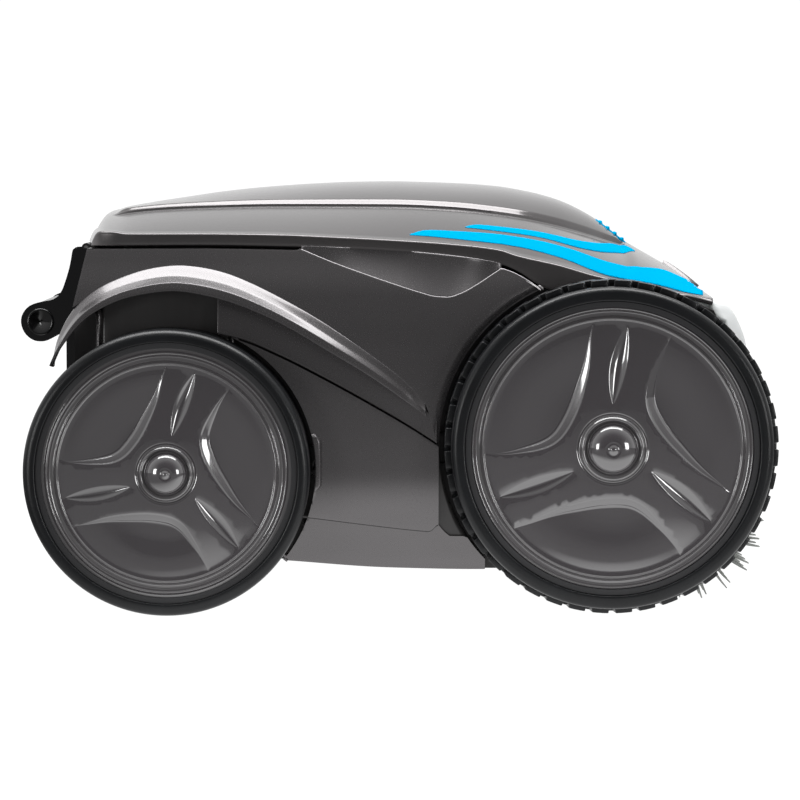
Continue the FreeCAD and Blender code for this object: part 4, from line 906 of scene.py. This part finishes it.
# ---------------------------------------------------------------- wheels
# One window of the cover, as shares of the disc's radius, with its first corner at (0, 1).
WINDOW_LINE = path([(0.003, 0.965), (-0.028, 0.849), (-0.067, 0.671), (-0.124, 0.512), (-0.21, 0.334),
                    (-0.307, 0.2), (-0.405, 0.118), (-0.529, 0.08), (-0.725, 0.08), (-0.867, 0.098),
                    (-0.958, 0.118)], 84)
# Level lines of the bevel: how far in of its width, and how deep.
WINDOW_LEVELS = ((0.0, 0.0), (0.05, 0.03), (0.17, 0.3), (0.25, 0.36), (0.68, 0.6), (0.76, 0.68),
                 (0.89, 0.96), (0.95, 1.0), (1.12, 1.0), (1.35, 1.0))
WINDOW_DEPTH = 3.9
BEVEL_WIDTH = 5.6
GROOVE_ENDS = ((0.054, 0.33), (0.262, 0.905))
GROOVE_HALF = 0.068
GROOVE_LEVELS = ((1.0, 0.0), (0.86, 0.1), (0.6, 0.55), (0.25, 0.95), (0.0, 1.0))
GROOVE_DEPTH = 2.4
TREAD_BLOCKS, TREAD_ROOT = 44, 100.3
TYRE_RING = 101.2                       # radius of the front tyre's smooth outer ring
THIRD = math.radians(120.0)
DOME_SHARE = 0.735                      # the hub's dome as a share of the hub
COVER_BACK = 192.0                      # the covers' skirt ends here, inside the tyre


def near_line(px, py, line):
    """Distance from a point to a polyline, and which side of it the point is on."""
    best, side = 9.0, 1.0
    for (ax, ay), (bx, by) in zip(line, line[1:]):
        dx, dy = bx - ax, by - ay
        t = min(1.0, max(0.0, ((px - ax) * dx + (py - ay) * dy) / (dx * dx + dy * dy)))
        ex, ey = px - ax - dx * t, py - ay - dy * t
        d = math.hypot(ex, ey)
        if d < best:
            best = d
            side = 1.0 if dx * ey - dy * ex < 0 else -1.0
    return best, side


def window_share(share):
    """How deep a window is at a share of the radius: it runs out at the rim."""
    return 1 - smoothstep(0.45, 0.985, share)


def spin(x, y, angle):
    return x * math.cos(angle) - y * math.sin(angle), x * math.sin(angle) + y * math.cos(angle)


def window_lines(disc):
    """Level lines of one window's bevel: lists of (x, y, depth)."""
    lines = []
    last = len(WINDOW_LINE) - 1
    for inset, drop in WINDOW_LEVELS:
        line = []
        for i, (x, y) in enumerate(WINDOW_LINE):
            ax, ay = WINDOW_LINE[max(0, i - 1)]
            bx, by = WINDOW_LINE[min(last, i + 1)]
            length = math.hypot(bx - ax, by - ay)
            share = window_share(math.hypot(x, y))
            width = (BEVEL_WIDTH + 1.4 * math.sin(math.pi * i / last) ** 6) * share ** 0.8 * inset
            px, py = x * disc + (by - ay) / length * width, y * disc - (bx - ax) / length * width
            line.append((px, py, WINDOW_DEPTH * window_share(math.hypot(px, py) / disc) * drop))
        lines.append(line)
    return lines


def groove_lines(disc):
    """Level lines of one spoke's pointed groove."""
    (ax, ay), (bx, by) = GROOVE_ENDS
    dx, dy = bx - ax, by - ay
    length = math.hypot(dx, dy)
    lines = []
    for side in (-1, 1):
        for share, drop in GROOVE_LEVELS:
            if side > 0 and share == 0.0:
                continue
            line = []
            for t in steps(0.0, 1.0, 26):
                swell = math.sin(math.pi * t) ** 0.8
                across = side * share * GROOVE_HALF * swell - 0.012 * math.sin(math.pi * t)
                line.append(((ax + dx * t + dy / length * across) * disc,
                             (ay + dy * t - dx / length * across) * disc, GROOVE_DEPTH * drop * swell))
            lines.append(line)
    return lines


def free_place(x, y, disc):
    """Depth of the relief at a grid point, or None where level lines already carry the shape."""
    px, py = x / disc, y / disc
    distance, side = near_line(px, py, WINDOW_LINE)
    share = window_share(math.hypot(px, py))
    inside = side > 0 and math.atan2(py, px) > math.radians(88.0) and distance < 1.0
    reach = ((BEVEL_WIDTH + 4.4) * share ** 0.8 + 1.0) / disc if inside else 1.3 / disc
    if distance < reach:
        return None
    (gx, gy), (hx, hy) = GROOVE_ENDS
    dx, dy = hx - gx, hy - gy
    t = ((px - gx) * dx + (py - gy) * dy) / (dx * dx + dy * dy)
    across = abs((px - gx) * dy - (py - gy) * dx) / math.hypot(dx, dy)
    if -0.05 < t < 1.05 and across < GROOVE_HALF + 0.03:
        return None
    return WINDOW_DEPTH * share if inside else 0.0


def cover_section(radius, disc, hub, edge):
    """Height of the plain turned cover at a radius."""
    dome = hub * DOME_SHARE
    if radius < dome:
        t = radius / dome
        bump = 1.0 * (1 - smoothstep(0.1, 0.16, t)) - 0.5 * math.exp(-((t - 0.24) / 0.05) ** 2)
        return 205.4 + 8.1 * math.sqrt(max(0.0, 1 - t ** 2.4)) + bump
    if radius < hub:
        t = (radius - dome) / (hub - dome)
        return 204.2 + 2.5 * math.sin(math.pi * smoothstep(0.1, 1.05, t)) ** 0.7
    plane = 205.0 - 4.2 * min(1.0, (radius - hub) / (disc - hub)) ** 1.5
    step = -0.9 * (1 - smoothstep(hub, hub + 2.0, radius))
    shelf = (0.9 * smoothstep(disc + 3.0, disc + 5.0, radius)
             - 1.3 * smoothstep(disc + 0.2, disc + 1.6, radius))
    beads = (1.1 * math.exp(-((radius - disc + 0.8) / 0.85) ** 2)
             + 1.0 * math.exp(-((radius - disc - 5.7) / 0.95) ** 2))
    return plane + step + shelf + beads - 2.6 * smoothstep(edge - 0.9, edge, radius)


def cover_disc(disc, hub, edge, turn, count):
    """Spokes, windows and grooves as a triangle mesh that follows every edge line."""
    inner, outer = hub + 2.4, disc - 2.0
    flat, depths, edges = [], [], []

    def add_line(line, closed=False):
        first = len(flat)
        for x, y, depth in line:
            flat.append(Vector((x, y)))
            depths.append(depth)
        edges.extend((k, k + 1) for k in range(first, len(flat) - 1))
        if closed:
            edges.append((len(flat) - 1, first))

    for radius in (inner, outer):
        add_line([(*polar(0.0, 0.0, radius, a), 0.0) for a in turns(count)], True)
    for k in range(3):
        for line in window_lines(disc) + groove_lines(disc):
            add_line([(*spin(x, y, turn - math.pi / 2 + THIRD * k), depth) for x, y, depth in line])
    for i in range(1, 18):
        radius = lerp(inner, outer, i / 18)
        ring = int(2 * math.pi * radius / 3.4)
        for k in range(ring):
            x, y = polar(0.0, 0.0, radius, 2 * math.pi * (k + 0.5 * (i % 2)) / ring)
            values = [free_place(*spin(x, y, math.pi / 2 - turn - THIRD * n), disc) for n in range(3)]
            if None not in values:
                flat.append(Vector((x, y)))
                depths.append(max(values))
    points, _, faces, origins, _, _ = delaunay_2d_cdt(flat, edges, [], 0, 1e-4)
    solid = []
    for point, source in zip(points, origins):
        depth = depths[source[0]] if source else 0.0
        solid.append((point.x, point.y, cover_section(point.length, disc, hub, edge) - depth))
    kept = []
    for face in faces:
        middle = sum((points[k] for k in face), Vector((0.0, 0.0))) / 3
        if middle.length > inner * math.cos(math.pi / count) - 1e-3:
            kept.append(tuple(face))
    return solid, kept


def cover_rings(disc, hub, edge, count):
    """The turned parts: hub dome and annulus, and the beaded ring, as closed grids."""
    dome = hub * DOME_SHARE
    zones = [steps(0.3, dome * 0.3, 6) + steps(dome * 0.34, dome - 0.3, 14) + steps(dome, hub, 12)
             + steps(hub + 0.4, hub + 2.4, 6), steps(disc - 2.0, edge, 52)]
    out = []
    for radii in zones:
        points = []
        for radius in radii:
            height = cover_section(radius, disc, hub, edge)
            points += [(*polar(0.0, 0.0, radius, a), height) for a in turns(count)]
        out.append((points, grid_faces(len(radii), count, close_columns=True)))
    points, faces = out[0]
    points.append((0.0, 0.0, points[0][2] + 0.05))
    faces += [(len(points) - 1, k, (k + 1) % count) for k in range(count)]
    points, faces = out[1]
    last, back = len(points) - count, len(points)
    points += [(px, py, COVER_BACK) for px, py, _ in points[last:]]
    faces += [(last + k, last + (k + 1) % count, back + (k + 1) % count, back + k)
              for k in range(count)]
    return out


def cover_shape(disc, hub, edge, turn):
    """Points and faces of one cover about its own centre, all parts joined."""
    count = 240
    points, faces = [], []
    parts = [cover_disc(disc, hub, edge, turn, count)] + cover_rings(disc, hub, edge, count)
    for part, part_faces in parts:
        n = len(points)
        points += part
        faces += [tuple(n + k for k in face) for face in part_faces]
    return points, faces


def build_cover(name, shape, bands, x, z, side, body, node):
    points, faces = shape
    placed = [(x + px, height * side, z + py) for px, py, height in points]
    cover = put(name, placed, faces, COVER, body, (x, 100.0 * side, z))
    mesh = bmesh.new()
    mesh.from_mesh(cover.data)
    bmesh.ops.remove_doubles(mesh, verts=mesh.verts, dist=0.02 * MM)
    bmesh.ops.recalc_face_normals(mesh, faces=mesh.faces)
    lean = sum(face.normal.y * face.calc_area() for face in mesh.faces) * side
    if lean < 0:
        bmesh.ops.reverse_faces(mesh, faces=mesh.faces)
    hub_in, hub_out, ring_in = bands
    for face in mesh.faces:
        place = face.calc_center_median() / MM
        radius = math.hypot(place.x - x, place.z - z)
        face.material_index = 1 if hub_in < radius < hub_out or radius > ring_in else 0
    mesh.to_mesh(cover.data)
    mesh.free()
    cover.data.materials.append(COVER_RING)
    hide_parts(node)


def build_wheels():
    kinds = {
        "front": (FRONT_X, FRONT_Z, 82.2, 21.0, 92.3, math.radians(99.5)),
        "rear": (REAR_X, REAR_Z, 69.6, 17.8, 81.0, math.radians(90.0))}
    for kind, (x, z, disc, hub, edge, turn) in kinds.items():
        shape = cover_shape(disc, hub, edge, turn)
        for side in (NEAR, FAR):
            body = f"{kind}_wheel_{SIDES[side]}"
            build_cover(f"{kind}_wheel_cover_{SIDES[side]}", shape, (hub * 0.74, hub + 0.4, disc - 1.7),
                        x, z, side, body, f"{kind}_cover_{SIDES[side]}")
    for side in (NEAR, FAR):
        build_tyre("front", side, FRONT_X, FRONT_Z, front_tyre_profile())
        build_tread(side)
        build_tyre("rear", side, REAR_X, REAR_Z, rear_tyre_profile())


def arc_points(cx, cy, radius, start, stop, count):
    return [(cx + radius * math.cos(math.radians(a)), cy + radius * math.sin(math.radians(a)))
            for a in steps(start, stop, count)]


def build_tyre(kind, side, x, z, profile):
    body = f"{kind}_wheel_{SIDES[side]}"
    tyre = turned(f"{kind}_tyre_ring_{SIDES[side]}", x, z, profile, side, 200, TYRE, body)
    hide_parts(f"{kind}_tyre_{SIDES[side]}")


def front_tyre_profile():
    return ([(92.3, TYRE_IN + 0.3), (100.9, TYRE_IN + 0.3), (100.9, 189.6)]
            + [(TYRE_RING - 0.2, 190.2), (TYRE_RING, 190.8), (TYRE_RING, 199.0)]
            + arc_points(TYRE_RING - 4.2, TYRE_OUT - 4.2, 4.2, 0.0, 90.0, 8)
            + [(94.6, TYRE_OUT)] + arc_points(93.6, TYRE_OUT - 1.1, 1.1, 90.0, 180.0, 4)
            + [(92.3, 200.0)])


def rear_tyre_profile():
    return ([(82.1, TYRE_IN + 0.3)] + arc_points(REAR_R - 3.0, TYRE_IN + 3.3, 3.0, -90.0, 0.0, 6)
            + [(REAR_R, 186.0), (REAR_R - 0.5, 186.6), (REAR_R - 0.5, 187.6), (REAR_R, 188.2)]
            + arc_points(REAR_R - 5.0, TYRE_OUT - 5.0, 5.0, 0.0, 90.0, 9)
            + [(84.2, TYRE_OUT)] + arc_points(83.3, TYRE_OUT - 1.1, 1.1, 90.0, 180.0, 4)
            + [(82.1, 200.0)])


def build_tread(side):
    """Two staggered rows of slanted blocks round the front tyre."""
    pitch = 2 * math.pi / TREAD_BLOCKS
    studs = []
    for row, (y0, y1) in enumerate(((TYRE_IN + 0.6, 175.4), (176.6, 189.4))):
        lean = 0.05 if row else -0.05
        # radius, share of the width, y, slant
        corners = ((TREAD_ROOT, 1.06, y0, -lean), (TREAD_ROOT, 1.06, y1, lean),
                   (FRONT_R - 0.15, 0.94, y1, lean), (FRONT_R - 0.15, 0.94, y0, -lean))
        for k in range(TREAD_BLOCKS):
            centre = pitch * (k + 0.5 * row)
            stud = []
            for edge in (-0.37, -0.12, 0.12, 0.37):
                stud.append([around(FRONT_X, FRONT_Z, radius, centre + pitch * (edge * grow + slant),
                                    y * side) for radius, grow, y, slant in corners])
            studs.append(stud)
    tread = loft(f"front_tread_{SIDES[side]}", studs, TYRE,
                 f"front_wheel_{SIDES[side]}")
    round_edges(tread, 0.55, 2, 40)


# ---------------------------------------------------------------- brush
FINS, FIN_ROWS = 18, 11
FIN_START, FIN_PITCH, FIN_WIDE = 7.0, 12.4, 10.6
FIN_ROOT, FIN_TIP = 21.0, 49.8
FIN_LEAN = math.radians(4.5)            # every other row of fins stands this far round


def brush_blade(angle, y0):
    """Rings of one tapered fin, from the sleeve out to its tip."""
    y1 = y0 + FIN_WIDE
    rings = []
    for t in steps(0.0, 1.0, 6):
        half = lerp(1.9, 0.35, t ** 0.8)
        narrow = 2.4 * t ** 3
        sweep = angle + 0.05 * t * t
        cx, cz = polar(BRUSH_X, BRUSH_Z, lerp(FIN_ROOT, FIN_TIP, t), sweep)
        nx, nz = -math.sin(sweep), math.cos(sweep)
        rings.append([(cx + nx * half * sign, y, cz + nz * half * sign)
                      for y, sign in ((y0 + narrow, -1), (y0 + narrow, 1),
                                      (y1 - narrow, 1), (y1 - narrow, -1))])
    return rings


def build_brush():
    sleeve = [(20.1, 6.2), (21.4, 6.2), (22.0, 6.8), (22.0, 142.2), (21.4, 142.8), (20.1, 142.8)]
    for side in (NEAR, FAR):
        blades = []
        for k in range(FINS):
            base = math.radians(360.0 / FINS * k - 1.0)
            for j in range(FIN_ROWS):
                rings = brush_blade(base + FIN_LEAN * (j % 2), FIN_START + j * FIN_PITCH)
                blades.append([flip_side(ring, side) for ring in rings])
        body = f"brush_{SIDES[side]}"
        piece = loft(f"brush_blades_{SIDES[side]}", blades, FIN, body)
        round_edges(piece, 0.25, 1, 50)
        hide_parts(f"brush_fins_{SIDES[side]}")
        turned(f"brush_sleeve_{SIDES[side]}", BRUSH_X, BRUSH_Z, sleeve, side, 72, FIN, body)


# ---------------------------------------------------------------- handle and nose
HANDLE_OUTLINE = path([(-201.0, 227.0), (-205.0, 228.2), (-208.2, 227.2), (-209.4, 221.4),
                       (-210.8, 214.8), (-213.2, 206.9), (-215.6, 200.6), (-219.0, 196.0),
                       (-224.0, 193.4), (-230.5, 192.2), (-237.2, 190.0), (-241.4, 185.0),
                       (-242.2, 179.4), (-239.8, 173.4), (-234.6, 169.3), (-228.0, 168.8),
                       (-221.6, 171.6), (-215.0, 175.2), (-208.0, 176.2), (-203.8, 175.0)], 60)
HANDLE_REAR_FACE = [(-203.9, 180.0), (-202.9, 197.0), (-200.6, 207.0), (-197.4, 219.0)]
ARM_IN, ARM_OUT = 88.2, 99.8
GRIP_HALF = 96.6


def build_handle():
    outline = HANDLE_OUTLINE + HANDLE_REAR_FACE
    disc = [(0.3, 99.4), (8.9, 99.4), (8.9, 100.6), (8.2, 101.2), (7.2, 101.2), (6.5, 100.2),
            (0.3, 100.4)]
    for side in (NEAR, FAR):
        y0, y1 = sorted((ARM_IN * side, ARM_OUT * side))
        arm = slab(f"handle_arm_{SIDES[side]}", outline, y0, y1, BLACK_GLOSS, "chassis")
        round_edges(arm, 1.6, 4, 30)
        arm.modifiers.new("normals", "WEIGHTED_NORMAL").keep_sharp = True
        if side == NEAR:
            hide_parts("handle_arms")
        turned(f"grip_end_{SIDES[side]}", GRIP_X, GRIP_Z, disc, side, 72, BLACK_GLOSS, "chassis")
    profile = [(6.0, -93.0), (8.6, -93.4), (9.6, -96.4)]
    for y in steps(-GRIP_HALF, GRIP_HALF, 49):
        swell = 0.5 * math.cos(y / GRIP_HALF * math.pi / 2)
        rib = 0.35 * math.cos(y * 0.9) if abs(y) < 60.0 else 0.0
        profile.append((GRIP_R - 0.8 + swell + rib * 0.6, y))
    profile += [(9.6, 96.4), (8.6, 93.4), (6.0, 93.0)]
    rings = [[around(GRIP_X, GRIP_Z, r, a, y) for a in turns(64)] for r, y in profile]
    grip = loft("grip_bar", [rings], BLACK_GLOSS, "chassis")
    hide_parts("handle_grip")


def build_nose():
    line = path([(205.8, 193.6), (211.6, 193.2), (215.8, 192.6), (219.9, 189.6), (224.5, 181.6),
                 (229.4, 168.1), (230.8, 150.0), (228.0, 131.0), (221.5, 117.0), (214.6, 112.6)], 36)
    rows = []
    for x, z in line:
        least = 205.8 if z > 185 else 214.6
        row = []
        for t in steps(-1.0, 1.0, 41):
            back = 12.0 * smoothstep(0.82, 1.0, abs(t)) ** 2 + 2.0 * t * t
            row.append((max(x - back, least), 127.5 * math.copysign(abs(t) ** 0.9, t), z))
        rows.append(row)
    nose = sheet("nose_cowl", rows, NOSE, "chassis", (190.0, 0.0, 150.0))
    thicken(nose, 2.2)
    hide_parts("front_nose")


# ---------------------------------------------------------------- stage
def grey(level):
    return level, level, level


def build_floor():
    """Dim floor that glows in a painted pool of light under the cleaner; the camera itself sees it
    white.
    """
    mat, paint, shader, coords = new_material("studio_floor")
    tone = paint.noise(coords, 3.0)
    reach = paint.maths("VectorMath", "DISTANCE", coords, (0.14, 0.0, 0.0))
    # Painted light: the floor's emission pool under the cleaner lights it from below.
    pool = paint.ramp(reach, [(0.36, grey(1.0)), (0.5, grey(0.1))])
    rays = paint.node("LightPath").outputs["Is Camera Ray"]
    seen = paint.maths("Math", "MULTIPLY", rays, 1.02)
    paint.feed(shader, Base_Color=paint.ramp(tone, [(0.3, grey(0.07)), (0.7, grey(0.09))]),
               Roughness=0.9, Specular_IOR_Level=0.0, Emission_Color=(1.0, 1.0, 1.0, 1.0),
               Emission_Strength=paint.maths("Math", "MAXIMUM", pool, seen))
    mesh = bpy.data.meshes.new("floor")
    half = 14.0
    mesh.from_pydata([(-half, -half, 0), (half, -half, 0), (half, half, 0), (-half, half, 0)], [],
                     [(0, 1, 2, 3)])
    mesh.materials.append(mat)
    stand("floor", mesh)


def stand(name, data):
    obj = bpy.data.objects.new(name, data)
    bpy.context.scene.collection.objects.link(obj)
    return obj


def aim(obj, place, target):
    obj.location = place
    obj.rotation_euler = (Vector(target) - Vector(place)).to_track_quat("-Z", "Y").to_euler()


def area_light(name, place, target, size_x, size_y, power):
    data = bpy.data.lights.new(name, "AREA")
    data.shape = "RECTANGLE"
    data.size = size_x
    data.size_y = size_y
    data.energy = power
    light = stand(name, data)
    aim(light, place, target)


def build_lights():
    """Overhead softbox, a low strip at each front corner and a room that is dark ahead."""
    area_light("top_box", (0.0, 0.0, 2.0), (0.0, 0.0, 0.1), 2.4, 1.0, 53.0)
    for side in (NEAR, FAR):
        area_light(f"strip_{SIDES[side]}", (1.25 * side, -1.6, 0.27), (0.0, 0.0, 0.12), 0.45, 0.5,
                   5.5)
    world = bpy.data.worlds.new("studio")
    bpy.context.scene.world = world
    world.use_nodes = True
    paint = Paint(world.node_tree)
    paint.nodes.clear()
    place = paint.node("SeparateXYZ", Vector=paint.node("TexCoord").outputs["Generated"])
    ahead = paint.maths("Math", "MULTIPLY_ADD", place.outputs["Y"], 0.5, 0.5)
    greys = [(0.04, 0.10), (0.09, 0.13), (0.25, 0.5), (0.5, 0.85), (1.0, 0.9)]
    room = paint.node("Background", Color=paint.ramp(ahead, [(t, grey(g)) for t, g in greys]))
    sweep = paint.node("Background", Color=(1, 1, 1, 1), Strength=1.05)
    mix = paint.node("MixShader", Fac=paint.node("LightPath").outputs["Is Camera Ray"])
    paint.set(mix.inputs[1], room.outputs[0])
    paint.set(mix.inputs[2], sweep.outputs[0])
    paint.node("OutputWorld", Surface=mix.outputs[0])


def build_camera():
    data = bpy.data.cameras.new("camera")
    camera = stand("camera", data)
    bpy.context.scene.camera = camera
    place = Vector((VIEW_X, VIEW_Y, VIEW_Z)) * MM
    target = Vector((VIEW_X, -205.0, 136.25)) * MM
    aim(camera, place, target)
    frame_width = 0.5                    # metres across the picture at the near wheels
    data.sensor_width = 36.0
    data.lens = 36.0 * (target - place).length / frame_width
    data.clip_end = 60.0


build_camera()
dress_frame()
build_hood()
build_stripes()
build_button()
build_side_panels()
build_scoops()
build_arch_walls()
build_fenders()
build_insets()
build_wells()
build_lower_panels()
build_sills()
build_cover_plates()
build_wheels()
build_brush()
build_handle()
build_nose()
build_floor()
build_lights()
bpy.context.scene.view_settings.view_transform = "Standard"
